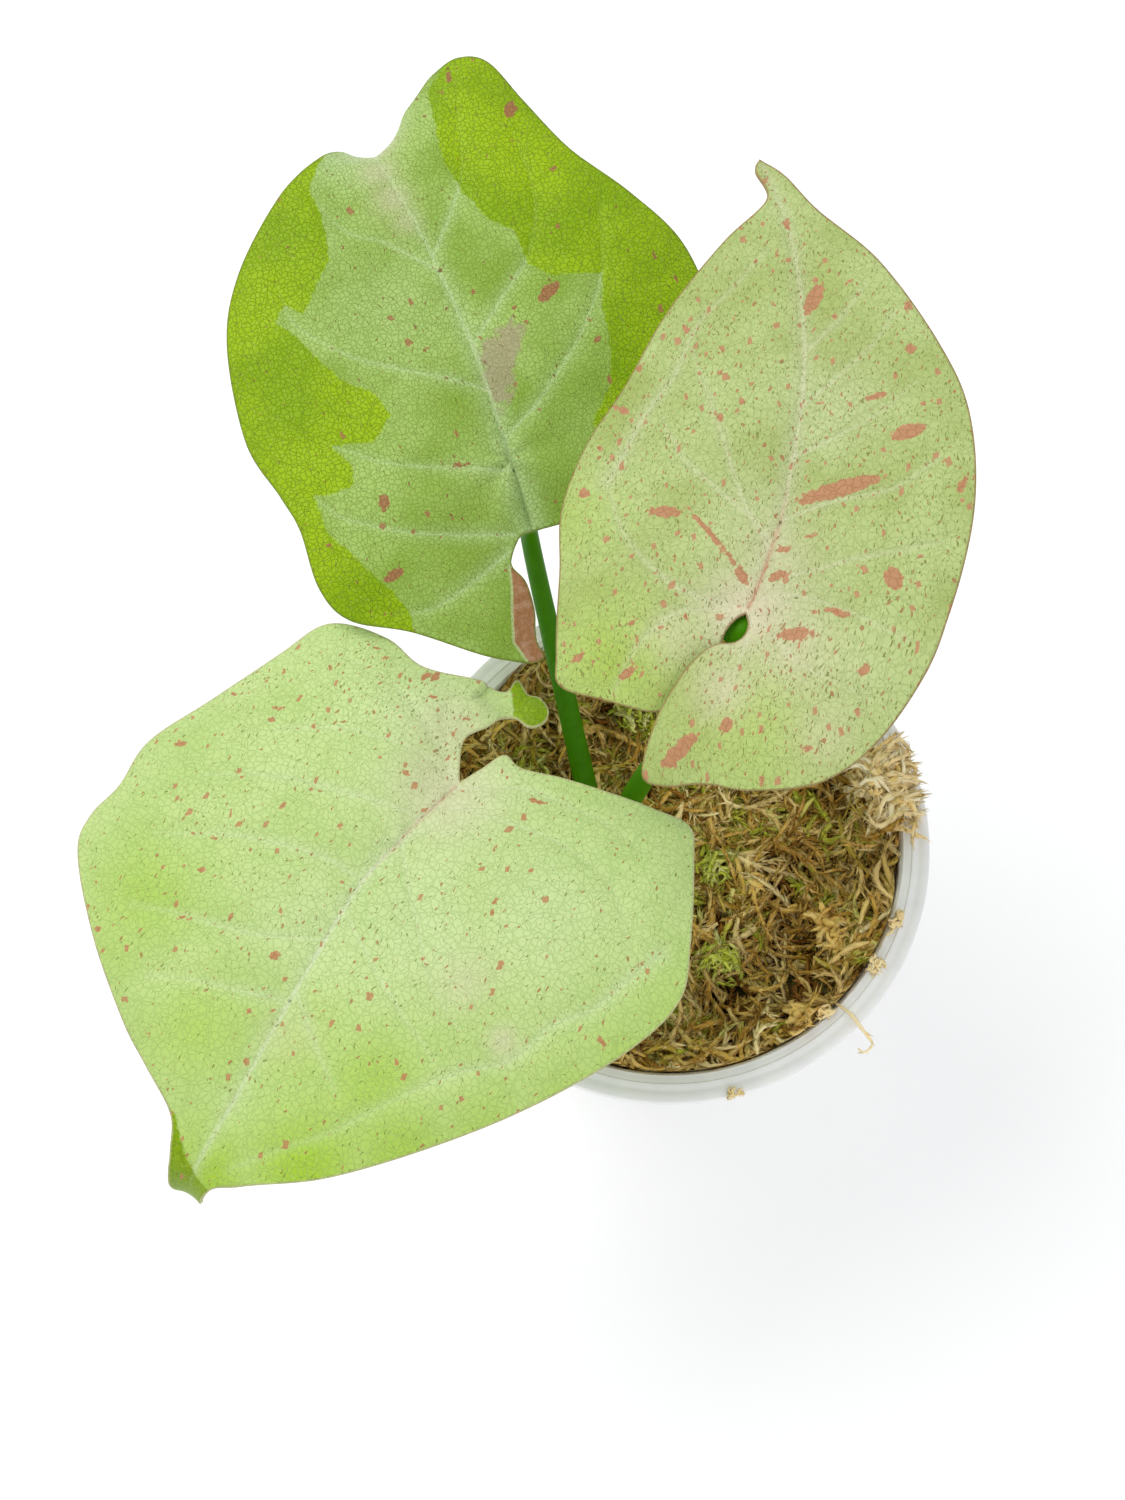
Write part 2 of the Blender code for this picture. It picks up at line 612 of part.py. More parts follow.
def leaf_places(leaf, pitch):
    """The blade's flat points, with a row on the midrib, and its triangles."""
    outline = leaf_outline(leaf, pitch * 0.75)
    rib = smooth_line(leaf["midrib"], pitch)[1:-1]
    low, high = outline.min(axis=0), outline.max(axis=0)
    lattice = []
    row_height = pitch * math.sqrt(0.75)
    for row in range(int((high[1] - low[1]) / row_height) + 1):
        shift = pitch / 2 * (row % 2)
        for column in range(int((high[0] - low[0]) / pitch) + 1):
            lattice.append((low[0] + shift + column * pitch, low[1] + row * row_height))
    lattice = np.array(lattice)
    keep = inside(lattice, outline) & (edge_distance(lattice, outline) > pitch * 0.5)
    lattice = lattice[keep]
    to_rib = np.min(np.linalg.norm(lattice[:, None] - rib[None], axis=2), axis=1)
    lattice = lattice[to_rib > pitch * 0.6]
    flat = np.vstack([outline, rib, lattice])
    count = len(outline)
    edges = [(i, (i + 1) % count) for i in range(count)]
    edges += [(count + i, count + i + 1) for i in range(len(rib) - 1)]
    found = geometry.delaunay_2d_cdt([Vector(p) for p in flat], edges, [], 1, 1e-6)
    places = np.array([tuple(p) for p in found[0]])
    return places, found[2], outline


def make_leaf(name, leaf, parts, material):
    """A leaf blade: the flat outline in triangles, bent to its form and given its thickness."""
    places, triangles, outline = leaf_places(leaf, LEAF_PITCH / MM)
    bent = leaf_surface(leaf, places, edge_distance(places, outline))
    origin, ahead, left, up = leaf_axes(leaf)
    points = [origin + (ahead * a + left * b + up * c) * MM for a, b, c in bent]
    mesh = bpy.data.meshes.new(name)
    mesh.from_pydata(points, [], triangles)
    shape = bmesh.new()
    shape.from_mesh(mesh)
    bmesh.ops.recalc_face_normals(shape, faces=shape.faces)
    if sum((face.normal.dot(up) for face in shape.faces)) < 0:
        bmesh.ops.reverse_faces(shape, faces=shape.faces)
    shape.to_mesh(mesh)
    shape.free()
    blade = new_object(name, mesh, parts, material)
    thick = blade.modifiers.new("Thickness", "SOLIDIFY")
    thick.thickness = LEAF_THICKNESS
    thick.offset = 0.0
    shade(blade, 60)
    return blade


def clear_scene():
    """Removes the objects of the scene that Blender opens with."""
    for thing in list(bpy.data.objects):
        bpy.data.objects.remove(thing)


def make_plant():
    """Builds every piece of the potted plant."""
    clear_scene()
    scene = bpy.context.scene.collection
    parts = bpy.data.collections.new("arrowhead_plant")
    cutters = bpy.data.collections.new("cutters")
    helpers = bpy.data.collections.new("helpers")
    for collection in (parts, cutters, helpers):
        scene.children.link(collection)
    pot_white = make_material("pot", 0.35)
    dry_moss = make_material("moss", 0.9)
    live_moss = make_material("green_moss", 0.8)
    stem_green = make_material("stem", 0.5)
    stalk_green = make_material("petiole", 0.4)
    leaf_green = make_material("leaf", 0.45)

    make_pot(parts, cutters, pot_white)
    stem, stem_hole = make_stem(parts, cutters, stem_green)
    holes = [stem_hole]
    for name, leaf in LEAVES.items():
        points = petiole_route(leaf)
        tube("petiole_" + name, points, petiole_radii(len(points)), parts, stalk_green)
        shade(parts.objects["petiole_" + name])
        low = points[0] - Vector((0, 0, GAP))
        reach = HOLE_POINTS + 1
        radii = petiole_radii(len(points), GAP)[:reach]
        hole = tube("hole_" + name, [low] + points[1:reach], radii, cutters)
        cutters.objects.unlink(hole)
        holes.append(hole)
        make_leaf("leaf_" + name, leaf, parts, leaf_green)
    make_moss_bed(parts, helpers, cutters, holes, dry_moss)
    for seed, (name, (x, y)) in enumerate(GREEN_TUFTS.items()):
        make_green_tuft(name, x, y, seed, parts, helpers, live_moss)
    for collection in (cutters, helpers):
        bpy.data.collections.remove(collection)


make_plant()
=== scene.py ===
# %% [markdown]
# Arrowhead plant in a nursery cup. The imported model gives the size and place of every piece,
# and each piece is dressed here in turn: the cup, the moss, the stalks, and the three leaves
# with their milky, lime and pink markings. Lengths are worked in millimetres and turned to
# metres where a mesh is written, because leaf details are easier to think of that way.

# %% Load the model
import json
import math
import random

import bmesh
import bpy
import numpy as np
from mathutils import Matrix, Vector, geometry, noise

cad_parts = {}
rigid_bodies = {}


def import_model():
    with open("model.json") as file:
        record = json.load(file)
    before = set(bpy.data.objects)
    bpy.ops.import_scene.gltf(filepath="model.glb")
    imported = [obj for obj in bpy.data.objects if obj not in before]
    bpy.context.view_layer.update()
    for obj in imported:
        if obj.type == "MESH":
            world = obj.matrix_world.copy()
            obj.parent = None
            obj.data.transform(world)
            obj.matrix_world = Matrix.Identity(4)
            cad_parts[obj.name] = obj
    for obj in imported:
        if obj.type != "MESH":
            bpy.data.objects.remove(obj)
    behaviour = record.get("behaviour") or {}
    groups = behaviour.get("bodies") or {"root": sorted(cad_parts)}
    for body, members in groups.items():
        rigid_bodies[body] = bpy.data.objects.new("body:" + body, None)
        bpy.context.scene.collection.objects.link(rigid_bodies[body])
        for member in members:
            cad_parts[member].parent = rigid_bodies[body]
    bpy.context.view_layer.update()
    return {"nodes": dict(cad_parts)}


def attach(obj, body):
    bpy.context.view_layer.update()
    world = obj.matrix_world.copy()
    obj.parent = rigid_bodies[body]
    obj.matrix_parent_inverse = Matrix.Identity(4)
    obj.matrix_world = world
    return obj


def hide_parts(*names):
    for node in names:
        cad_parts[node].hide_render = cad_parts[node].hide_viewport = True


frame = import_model()
MM = 0.001

# %% [markdown]
# Helpers. Colours are given as the hex values that a painter would pick on screen, and one
# function turns them to the linear light that the shaders mix. A second function adds a shader
# or geometry node with its settings and its inputs, whether those are numbers or links.

# %% Colour and node helpers


def colour(code):
    """A screen hex colour as linear light."""
    shares = [int(code[i:i + 2], 16) / 255 for i in (1, 3, 5)]
    linear = [s / 12.92 if s <= 0.04045 else ((s + 0.055) / 1.055) ** 2.4 for s in shares]
    return tuple(linear + [1.0])


def add(tree, kind, settings=None, inputs=None):
    """A new node, with its settings, and its inputs set or linked."""
    node = tree.nodes.new(kind)
    for key, value in (settings or {}).items():
        setattr(node, key, value)
    for key, value in (inputs or {}).items():
        if isinstance(value, bpy.types.Node):
            value = value.outputs[0]
        if isinstance(value, bpy.types.NodeSocket):
            tree.links.new(value, node.inputs[key])
        else:
            node.inputs[key].default_value = value
    return node


def paint(tree, ground, layers):
    """Lays colours over each other: a layer is a mask, the colour in it and, if thin, its strength."""
    for mask, tint, *strength in layers:
        if strength:
            mask = add(tree, "ShaderNodeMath", {"operation": "MULTIPLY"}, {0: mask, 1: strength[0]})
        mixer = add(tree, "ShaderNodeMix", {"data_type": "RGBA"}, {0: mask, 6: ground, 7: tint})
        ground = mixer.outputs[2]
    return ground


print("a mid grey on screen is", round(colour("#808080")[0], 3), "in linear light")

# %% [markdown]
# Four more helpers start a material, make an object from lists of points, turn what modifiers
# shaped into a plain mesh, and attach a finished piece to the plant in place of its CAD node, if
# it has one. Every mesh is written in place, so that each piece sits at the origin, as the
# imported model's own pieces do.

# %% Mesh helpers


def new_material(name, constants):
    """A Principled material with its constants set on the shader's own sockets."""
    material = bpy.data.materials.new(name)
    material.use_nodes = True
    shader = material.node_tree.nodes["Principled BSDF"]
    for key, value in constants.items():
        shader.inputs[key].default_value = value
    return material, material.node_tree, shader


def mesh_object(name, points, faces, materials=()):
    """An object at the origin, from points in metres and faces."""
    mesh = bpy.data.meshes.new(name)
    mesh.from_pydata([tuple(p) for p in points], [], faces)
    for material in materials:
        mesh.materials.append(material)
    mesh.shade_smooth()
    thing = bpy.data.objects.new(name, mesh)
    bpy.context.scene.collection.objects.link(thing)
    return thing


def bake(thing):
    """Turns an object's evaluated form into its plain mesh."""
    bpy.context.view_layer.update()
    source = thing.evaluated_get(bpy.context.evaluated_depsgraph_get())
    mesh = bpy.data.meshes.new_from_object(source)
    thing.modifiers.clear()
    thing.data = mesh
    mesh.name = thing.name
    return thing


def place(thing, node):
    """Lets a piece ride on the plant and stand for a CAD node, whose solid it hides."""
    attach(thing, "root")
    if node is not None:
        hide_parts(node)
    print(thing.name, sum(len(face.vertices) - 2 for face in thing.data.polygons), "triangles")


print("pieces will stand for", sorted(frame["nodes"]))

# %% [markdown]
# The camera stands where the photograph was taken: high over the front edge of the pot, tilted
# only 17.5 degrees from straight down. A longish lens keeps the three leaves in proportion.

# %% Camera
CAMERA_PLACE = (-0.01708, -0.0855, 0.39405)
CAMERA_TILT = math.radians(17.5)
CAMERA_LENS = 48.46
SENSOR_WIDTH = 36.0
camera_data = bpy.data.cameras.new("camera")
camera_data.lens = CAMERA_LENS
camera_data.sensor_width = SENSOR_WIDTH
camera = bpy.data.objects.new("camera", camera_data)
camera.location = CAMERA_PLACE
camera.rotation_euler = (CAMERA_TILT, 0.0, 0.0)
bpy.context.scene.collection.objects.link(camera)
bpy.context.scene.camera = camera
print("camera", CAMERA_PLACE)

# %% [markdown]
# A leaf's look is decided by its flat drawing: a midrib, two margins, side veins, and the
# places of its markings, all in millimetres with the first number running to the tip and the
# second to the leaf's left. The blade is then bent by a formula: a valley along the midrib, an
# arch, drooping lobes, a wavy margin and a curled tip. The same formula shaped the solid model,
# so the fine blade lies inside the plain one.

# %% Leaf drawings
LEAVES = {
    "back": {
        "junction": (-21.5, 35.5, 117.0), "heading": 112.0, "pitch": 13.0, "roll": -6.0,
        "midrib": [(79, 0), (66, 1), (50, -1), (30, -2), (12, -1), (0.5, 0)],
        "left": [(75, 2), (70, 5), (67, 9), (62.5, 17), (53.5, 27), (44, 32.5), (29, 35),
                 (19, 33), (13, 32), (4, 32.5), (-2, 30), (-7, 22), (-14, 13.5), (-17.2, 8.2),
                 (-17.8, 6.4), (-17.3, 5.0), (-15.2, 5.3), (-13.4, 4.9), (-10.5, 3.9), (-6.3, 3.6),
                 (-3.6, 4.6), (-2, 4), (0.2, 2)],
        "right": [(75, -3), (71.5, -7), (73.3, -12), (74.3, -16.5), (72, -20.5), (64, -23.3),
                  (54, -27), (44, -33), (34, -37.5), (22, -38), (10, -36), (-2, -32),
                  (-11, -27), (-15, -20), (-11, -14), (-4, -10), (-0.5, -6), (0.3, -2.5)],
        "fold": 3.0, "arch": 4.0, "lobe": 4.0, "left_drop": 1.5, "right_drop": 4.0,
        "wave": 0.9, "waves": 5.0, "roll_depth": 0.8,
        "curl_start": 59.0, "curl_radius": 7.0, "curl_width": 7.0,
        "slit": [(-25, 0), (0, 0)], "swing": 0.0, "lift": 0.0, "ear_drop": 0.0,
        "seat": (2.4, 0.0), "stalk_bearing": 92.0, "stalk_upright": 0.14,
    },
    "right": {
        "junction": (7.5, 12.7, 143.0), "heading": 82.0, "pitch": 4.0, "roll": -15.0,
        "midrib": [(73, 8.5), (62, 3), (50, -1), (34, -3.6), (16, -3.2), (6, -1.5), (0.2, 0.3)],
        "left": [(70, 8.5), (64, 5.8), (56, 10.5), (44, 17), (33, 21.5), (24, 26), (14, 28),
                 (4, 26.5), (-7, 25.5), (-11.5, 24.5), (-13, 18), (-14, 11), (-11.5, 8.3),
                 (-8.5, 6.6), (-6, 4.8), (-4.6, 3.3), (-2.4, 2.7), (-0.6, 1.5)],
        "right": [(69, 4), (62, -2), (53, -12), (40, -21.5), (29, -26.7), (15, -28.5),
                  (-1, -26), (-13, -22), (-20, -16), (-23, -7), (-23.3, 0), (-24.8, 5),
                  (-24, 8.4), (-16.6, 8), (-11, 6.3), (-8.8, 5.4), (-6.6, 4), (-5.2, 2.6),
                  (-4.5, 0.6), (-3.4, -0.4), (-1.6, -0.4)],
        "fold": 3.0, "arch": 4.0, "lobe": 3.0, "left_drop": 2.0, "right_drop": 2.0,
        "wave": 0.6, "waves": 4.0, "roll_depth": 0.8,
        "curl_start": 60.0, "curl_radius": 40.0, "curl_width": 12.0,
        "slit": [(-25, 14), (-9, 6.1), (-5, 3.1), (0, 0)], "swing": -9.0, "lift": 1.7,
        "ear_drop": 0.0, "seat": (-1.2, 1.2), "stalk_bearing": 25.0, "stalk_upright": 0.56,
    },
    "front": {
        "junction": (-32.0, -1.5, 113.0), "heading": 238.0, "pitch": 4.0, "roll": 1.0,
        "midrib": [(77, -2.5), (57, -2), (42, -2.8), (22, -3.6), (12, -2.2), (0, 0)],
        "left": [(73, -0.5), (67, 1.2), (64, 5.3), (57, 15), (46, 24.8), (33, 34), (20, 41),
                 (10, 43.5), (2, 40.5), (-9, 34.5), (-13.5, 31), (-12, 25), (-8.6, 13.5),
                 (-6.2, 6.8), (-6.8, 3.4), (-3.5, 1.8), (-1.5, 0.8)],
        "right": [(73, -5), (68, -5.8), (65, -6.6), (61, -9), (57.5, -15.5), (54, -22),
                  (46.5, -32.5), (37.5, -42), (32, -43.8), (26, -42.8), (18, -43.3), (8, -39),
                  (-3, -34), (-11, -30.5), (-13.5, -22), (-12.5, -15), (-15.2, -8),
                  (-16.1, -5.5), (-16.3, -3.8), (-17.2, -2.7), (-19.8, -2.7), (-18.5, 0), (-18.8, 2),
                  (-17.4, 4.4), (-15.2, 5), (-13.3, 3.5), (-13.8, 0.8), (-12.7, -0.6),
                  (-10, -1.4), (-6.2, -3.2), (-2.1, -1.4)],
        "fold": 3.0, "arch": 8.0, "lobe": 3.0, "left_drop": 3.0, "right_drop": 3.0,
        "wave": 0.8, "waves": 5.0, "roll_depth": 1.2,
        "curl_start": 61.5, "curl_radius": 6.5, "curl_width": 9.0,
        "slit": [(-25, 0), (0, 0)], "swing": 0.0, "lift": 0.0, "ear_drop": 1.5,
        "seat": (2.4, -0.4), "stalk_bearing": 205.0, "stalk_upright": 0.25,
    },
}
FOLD_WIDTH = 12.0                 # half-width of the valley along the midrib
ARCH_LENGTH = 60.0                # where the arch reaches its full drop, ahead of the stalk
LOBE_LENGTH = 20.0                # where the basal lobes reach theirs, behind it
HALF_BLADE = 30.0                 # where the sides reach theirs, to the left and right
WAVE_CENTRE = 12.0                # the place on the midrib that the margin's waves run round
WAVE_WIDTH = 10.0                 # how far the margin's waves reach in
MARGIN_ROLL_WIDTH = 5.0           # width of the strip that turns down at the margin
SWING_REACH = 6.0                 # how soon an overlapping lobe swings across
EAR_START = 11.5                  # where the front leaf's small ear begins, behind the stalk
EAR_SIDE = -6.0                   # and how far to the right it reaches
print(len(LEAVES), "leaves")

# %% [markdown]
# Side veins leave the midrib and bend forward before they reach the margin, and those of the
# two basal lobes run backwards. Only the strong ones are drawn, as a few points each, because
# the finest net between them is a pattern in the shader. Every vein starts on the midrib.

# %% Veins of each leaf
VEINS = {
    "back": [
        [(0.5, 0), (1.1, 3.2), (4.9, 13), (7, 17.5), (12, 25), (16.5, 28)],
        [(10, -0.8), (13.3, 7.3), (17.4, 16), (20, 19.3), (24, 24)],
        [(22.5, -1.9), (25.3, 1.5), (28.5, 6.6), (33.3, 13.7), (38, 18.4), (43, 21.7), (50, 22)],
        [(42.8, -1.5), (49.5, 4.4), (53.5, 9.5), (60, 12.5)],
        [(15, -1.2), (17.5, -7), (20, -10.6), (24, -16), (28.6, -20.6), (34, -24.5), (44, -28)],
        [(30, -2), (35, -8.6), (40, -15), (48, -19), (58, -20)],
        [(45, -1.2), (51.6, -7.3), (57, -10.7), (65, -13)],
        [(1, 0), (-1, -8), (1, -17), (7, -26), (16, -32)],
        [(0.5, 0), (-3, 9), (-5, 18), (-3, 25)],
        [(0.5, 0), (-3, -8), (-8, -17), (-9, -24)],
    ],
    "right": [
        [(1.3, -0.3), (1.3, 2.8), (1.8, 7), (4, 11.7), (10, 18), (18, 21.6)],
        [(8.9, -2), (13, 0.8), (18, 7), (21, 10.8), (27, 15)],
        [(10, -2.3), (15.8, 2.3), (25, 6.3), (31, 9), (38, 12.3)],
        [(18, 21.6), (23, 19.6), (28, 17.8), (34, 14.4), (42, 12), (48, 8), (55, 4)],
        [(0.3, 0.5), (0.6, 3), (-0.5, 9), (-3.7, 12.5), (-7.3, 15), (-12, 17)],
        [(4.3, -1.3), (6, -8.2), (7.7, -13.7), (9, -19), (11, -25)],
        [(13.2, -2.8), (16, -10.5), (18, -18.2), (22.5, -23.5)],
        [(22.6, -3.5), (25.5, -9.3), (29, -14.7), (33.5, -19)],
        [(30, -3.6), (35, -8.8), (40, -13), (45, -15)],
        [(38.8, -3.2), (43, -7.2), (49, -10.5)],
        [(1.9, -0.5), (2.4, -6.3), (1, -12), (-1, -17.4), (-2, -22)],
        [(0.3, 0), (-3.7, -5.4), (-6.3, -10), (-7.5, -15), (-8.5, -19)],
        [(0.3, 0), (-2.6, -1.4), (-7.2, -1.2), (-11.5, -0.4), (-16, 2)],
    ],
    "front": [
        [(0.2, -0.7), (-0.3, -5.3), (0.3, -10.6), (1.8, -15.3), (3.5, -20), (8, -27)],
        [(7.6, -1.5), (9, -6.9), (11.7, -16), (14.4, -24), (19, -32)],
        [(20, -3.4), (20.3, -10), (22.7, -18.3), (25, -24), (30, -33)],
        [(29.6, -3.3), (32.3, -7.7), (35.2, -14), (37.5, -22.5), (40, -30)],
        [(39.6, -2.9), (41.7, -8.3), (44.3, -15.7), (47, -22)],
        [(0.5, 0), (-4.6, -5.9), (-8.8, -8), (-12.5, -8)],
        [(0.3, 0), (-4, -8), (-7, -16), (-7, -25)],
        [(1.3, 0), (-1.3, 4.7), (-3.9, 10), (-5, 16.4), (-5.6, 21), (-5, 28)],
        [(5.3, -0.8), (3.4, 4.2), (0.9, 16.6), (1.8, 26.2), (5.5, 31.2), (9, 35)],
        [(12.1, -2.2), (17.8, 3.1), (21.7, 7.1), (27.2, 12.7), (31, 20)],
        [(25.2, -3.3), (29.5, 4.5), (33.2, 11.8), (36, 19)],
        [(38, -2.8), (43, 4), (47, 10)],
        [(6, 38), (10, 36.5), (18, 34), (23, 30.5), (30, 28), (36, 22.5), (44, 17), (52, 12),
         (57, 7.5), (63, 2.5)],
    ],
}
print({name: len(veins) for name, veins in VEINS.items()})

# %% [markdown]
# The markings come next. A variegated leaf is a patchwork of cells that lost part of their
# green: wide lime sectors, a few grey-pink washes, and salmon flecks that look torn from paper.
# The wide areas are polygons. The larger flecks are ellipses with a place, two half-sizes and a
# direction, and the shader tears their edges later. Soft tints are round and fade outwards.

# %% Markings of each leaf
LIME_AREAS = {
    "back": [
        [(78, -19), (71, -10), (65, -9), (58, -8), (53, -9), (47, -11), (44, -14), (38, -14),
         (35, -17), (33, -24), (28, -22), (23, -21), (17, -19), (12, -14), (2, -16), (-8, -50),
         (80, -50)],
        [(67, 8), (62, 12), (55, 12), (50, 13), (46, 17), (43, 20), (46, 22), (44, 24), (41, 22),
         (36, 20), (32, 18), (28, 14), (24, 13), (21, 17), (23, 23), (19, 21), (16, 22),
         (16, 26), (17, 28), (11, 28), (7, 26), (3, 24), (-1, 22), (-4, 21), (-12, 22),
         (-20, 45), (60, 50), (80, 20)],
    ],
    "right": [],
    "front": [
        [(-12.6, 0.8), (-14.7, -0.4), (-15.9, -1.2), (-16.8, -2.0), (-17.3, -3.2), (-24, -4),
         (-24, 7), (-11, 7)],
        [(58.5, -13), (61, -7.6), (64, -4.4), (66, -1.5), (67, 1.5), (67, 8), (90, 8), (90, -20),
         (58.5, -20)],
    ],
}
WASHES = {
    "back": [
        [(30, -2), (32, -9), (30, -11), (25, -8), (21, -6), (18, -2), (21, -1), (25, -1)],
    ],
    "right": [],
    "front": [],
}
FLAPS = {
    "back": [
        [(-3.4, 4.9), (-6.4, 5.7), (-9.5, 6.9), (-13.9, 8.4), (-15.7, 7.9), (-17.4, 7.5), (-20, 7.5),
         (-20, 1), (-3.4, 1)],
    ],
    "right": [],
    "front": [],
}
FLECKS = {
    "back": [
        (71.5, -14, 1.2, 0.5, -20), (33.1, -15.5, 2.1, 1.0, -67), (27, -19.7, 0.6, 0.4, 30),
        (23.7, -19.6, 0.7, 0.5, -40), (33.2, -32.5, 0.8, 0.4, 0), (28.6, -34.2, 0.7, 0.35, 10),
        (31.7, 4.7, 0.7, 0.35, 68), (32.9, -9.8, 0.45, 0.4, 0), (13.5, 6.5, 1.3, 0.4, 75),
        (12.2, 18.8, 1.5, 0.75, -15), (1.6, 21.2, 2.0, 0.8, -82), (9.3, 28.6, 0.6, 0.3, 60),
        (3.5, -5.1, 0.6, 0.4, -60), (55.8, 9.3, 0.8, 0.25, 68), (63, -20.8, 1.6, 1.0, -40),
    ],
    "right": [
        (17.6, -10.6, 6.4, 1.15, -74), (25.9, -18.9, 2.4, 1.2, -70), (31.3, -13.9, 2.3, 0.5, -74),
        (46.8, -3.6, 2.5, 1.25, -20), (-20.1, 3.9, 3.4, 1.0, -35), (10, 5.6, 6.0, 0.45, 45),
        (5.4, 1.4, 1.6, 0.7, 35), (13.2, 12.4, 2.5, 0.85, 88), (38.7, -17.8, 0.9, 0.8, 0),
        (45.8, -16.6, 1.1, 0.6, 10), (5.2, -19.2, 1.7, 1.3, 20), (0.2, -12.5, 1.9, 0.65, 78),
        (-2.8, -7.6, 2.6, 0.85, -85), (-5.3, -17.9, 1.0, 0.6, -80), (0.1, -9.5, 0.8, 0.35, -80),
        (-15.7, -1.9, 1.1, 1.0, 0), (-9.2, 15.1, 1.7, 0.7, -60), (-7.8, 22, 1.1, 0.6, -50),
        (16.2, 24.8, 1.0, 0.8, 70), (41.4, 13.7, 0.9, 0.5, 20), (35.5, 19.6, 0.9, 0.5, -20),
        (28.8, 21, 1.0, 0.6, 50), (27.7, 6.9, 0.8, 0.5, 20), (30.2, 4.2, 0.8, 0.4, 10),
        (34.2, 7.7, 0.8, 0.4, 20), (21.5, -3.3, 0.8, 0.4, -10), (8.9, -4.2, 1.3, 0.55, -75),
        (5.3, -3.8, 1.6, 0.7, -70), (18.7, -26.6, 1.5, 0.5, -20), (59.7, 2.2, 1.2, 0.6, 20),
        (54.1, 2.6, 1.0, 0.3, 20), (30.4, -6.5, 0.9, 0.3, -75), (30.2, -20.5, 0.7, 0.3, -75),
        (-10.6, -18.5, 0.8, 0.4, 10), (-16.6, -13.3, 0.8, 0.4, -60), (-21.5, -7.9, 0.9, 0.4, 0),
        (-2.6, 14.9, 0.7, 0.4, -40), (49.2, -8, 0.8, 0.4, -70), (10.9, -7.6, 0.8, 0.35, -75),
    ],
    "front": [
        (-11, -13.4, 1.1, 0.5, 10), (-12.1, -12.2, 1.2, 0.6, 10), (16.5, -38.1, 1.4, 0.5, 118),
        (4.9, -28.3, 0.9, 0.4, 122), (7, -28.3, 0.9, 0.35, 122), (5.8, -36.4, 0.7, 0.35, 110),
        (-10.1, -19.8, 0.7, 0.35, 150), (-11, -21.9, 0.7, 0.3, 140), (-5.9, -28.4, 0.5, 0.4, 0),
        (-8.7, -10.4, 0.7, 0.3, 100), (-9, -4.5, 0.7, 0.4, 120), (12.8, -16.5, 1.0, 0.3, 120),
        (3.7, -7.1, 0.8, 0.4, 90), (31.1, -23.8, 0.9, 0.4, 130), (37.8, -22, 1.3, 0.3, 122),
        (35.6, -7.9, 0.8, 0.6, 120), (45.2, -32.5, 0.6, 0.4, 120), (-2.8, 11.5, 1.6, 0.4, 112),
        (9.2, 36, 0.9, 0.3, 150), (21, 37.1, 1.1, 0.45, 60), (38.3, 25, 0.8, 0.4, 60),
        (39.3, 15.1, 0.7, 0.35, 70), (15.3, -10.3, 0.5, 0.4, 0), (26.2, -24.9, 0.6, 0.35, 120),
        (14.8, 15, 0.6, 0.4, 20), (22.1, 7.1, 0.5, 0.35, 0), (53.7, -17.8, 0.8, 0.3, 60),
    ],
}
# Soft tints: place, reach and strength.
# Pale tints join the halo by the veins: partly the leaf's own paler skin, partly painted sheen.
PALE = {
    "back": [(67, 6, 7, 0.7), (56, 19, 9, 0.45), (70, 2, 6, 0.6), (40, 8, 10, 0.3)],
    "right": [(0, -4, 9, 0.6), (14, 0, 8, 0.35), (-8, -14, 8, 0.4), (30, -8, 9, 0.35)],
    "front": [(2, 0, 10, 0.6), (-6, -10, 9, 0.5), (20, 6, 12, 0.45), (10, 20, 12, 0.4),
              (30, -4, 9, 0.35)],
}
# Greener tints, darker than the milky ground: on the back leaf they are painted shade, on the other two
# leaves patches of deeper green.
GREEN_TINT_AND_SHADE = {
    "back": [(1, 8, 9, 0.8), (8, -12, 9, 0.4), (24, 4, 7, 0.4)],
    "right": [(-8, 18, 9, 0.5), (-14, -6, 11, 0.35), (12, 26, 8, 0.3)],
    "front": [(38, -29, 9, 0.6), (12, 43, 7, 0.45), (22, 42, 7, 0.55), (31, 38, 8, 0.6),
              (41, 31, 8, 0.7), (50, 23, 9, 0.85), (48, 13, 8, 0.55), (58, 12, 10, 1.0),
              (66, 0, 8, 1.0), (74, -3, 6, 1.0), (44, -30, 8, 0.4), (50, -12, 8, 0.6),
              (44, 2, 8, 0.5), (43, 14, 8, 0.7)],
}
BLUSH = {
    "back": [(67, 0.5, 3.5, 0.6), (61, 1.5, 3.0, 0.5), (56, 1.2, 3.0, 0.5), (52, 0.5, 2.5, 0.4)],
    "right": [(0, 0, 6, 0.9), (-11, 0, 4.5, 0.55), (-4, 9, 4, 0.35), (-5, -8, 5, 0.45),
              (8, -3, 5, 0.4), (-15, -15, 4, 0.3)],
    "front": [(2, -1, 8, 0.55), (-6, -5, 6, 0.45), (24.8, 17, 4, 0.35), (28.7, 25.6, 2.2, 0.5),
              (44, 0, 4, 0.25)],
}
# How thickly small marks are strewn: a share for the whole blade, and places that have more.
SPECKLE = {
    "back": (0.8, [(8, 0, 14, 1.0)]),
    "right": (0.75, [(-8, -8, 16, 1.0), (40, 12, 14, 1.0), (55, 0, 12, 1.0)]),
    "front": (0.34, [(-7, -18, 13, 1.0), (3, -32, 10, 0.8), (-4, -4, 8, 0.9), (25, -30, 10, 0.6)]),
}
print({name: len(flecks) for name, flecks in FLECKS.items()}, "flecks")

# %% [markdown]
# A leaf's margin has no corners but its tip, so its few drawn points are joined by a
# Catmull-Rom line, which runs smoothly through every one of them. Two measures are needed all
# through the script: how far a place lies from such a line, and whether it lies inside one.

# %% Smooth lines
STEPS_BETWEEN_POINTS = 24


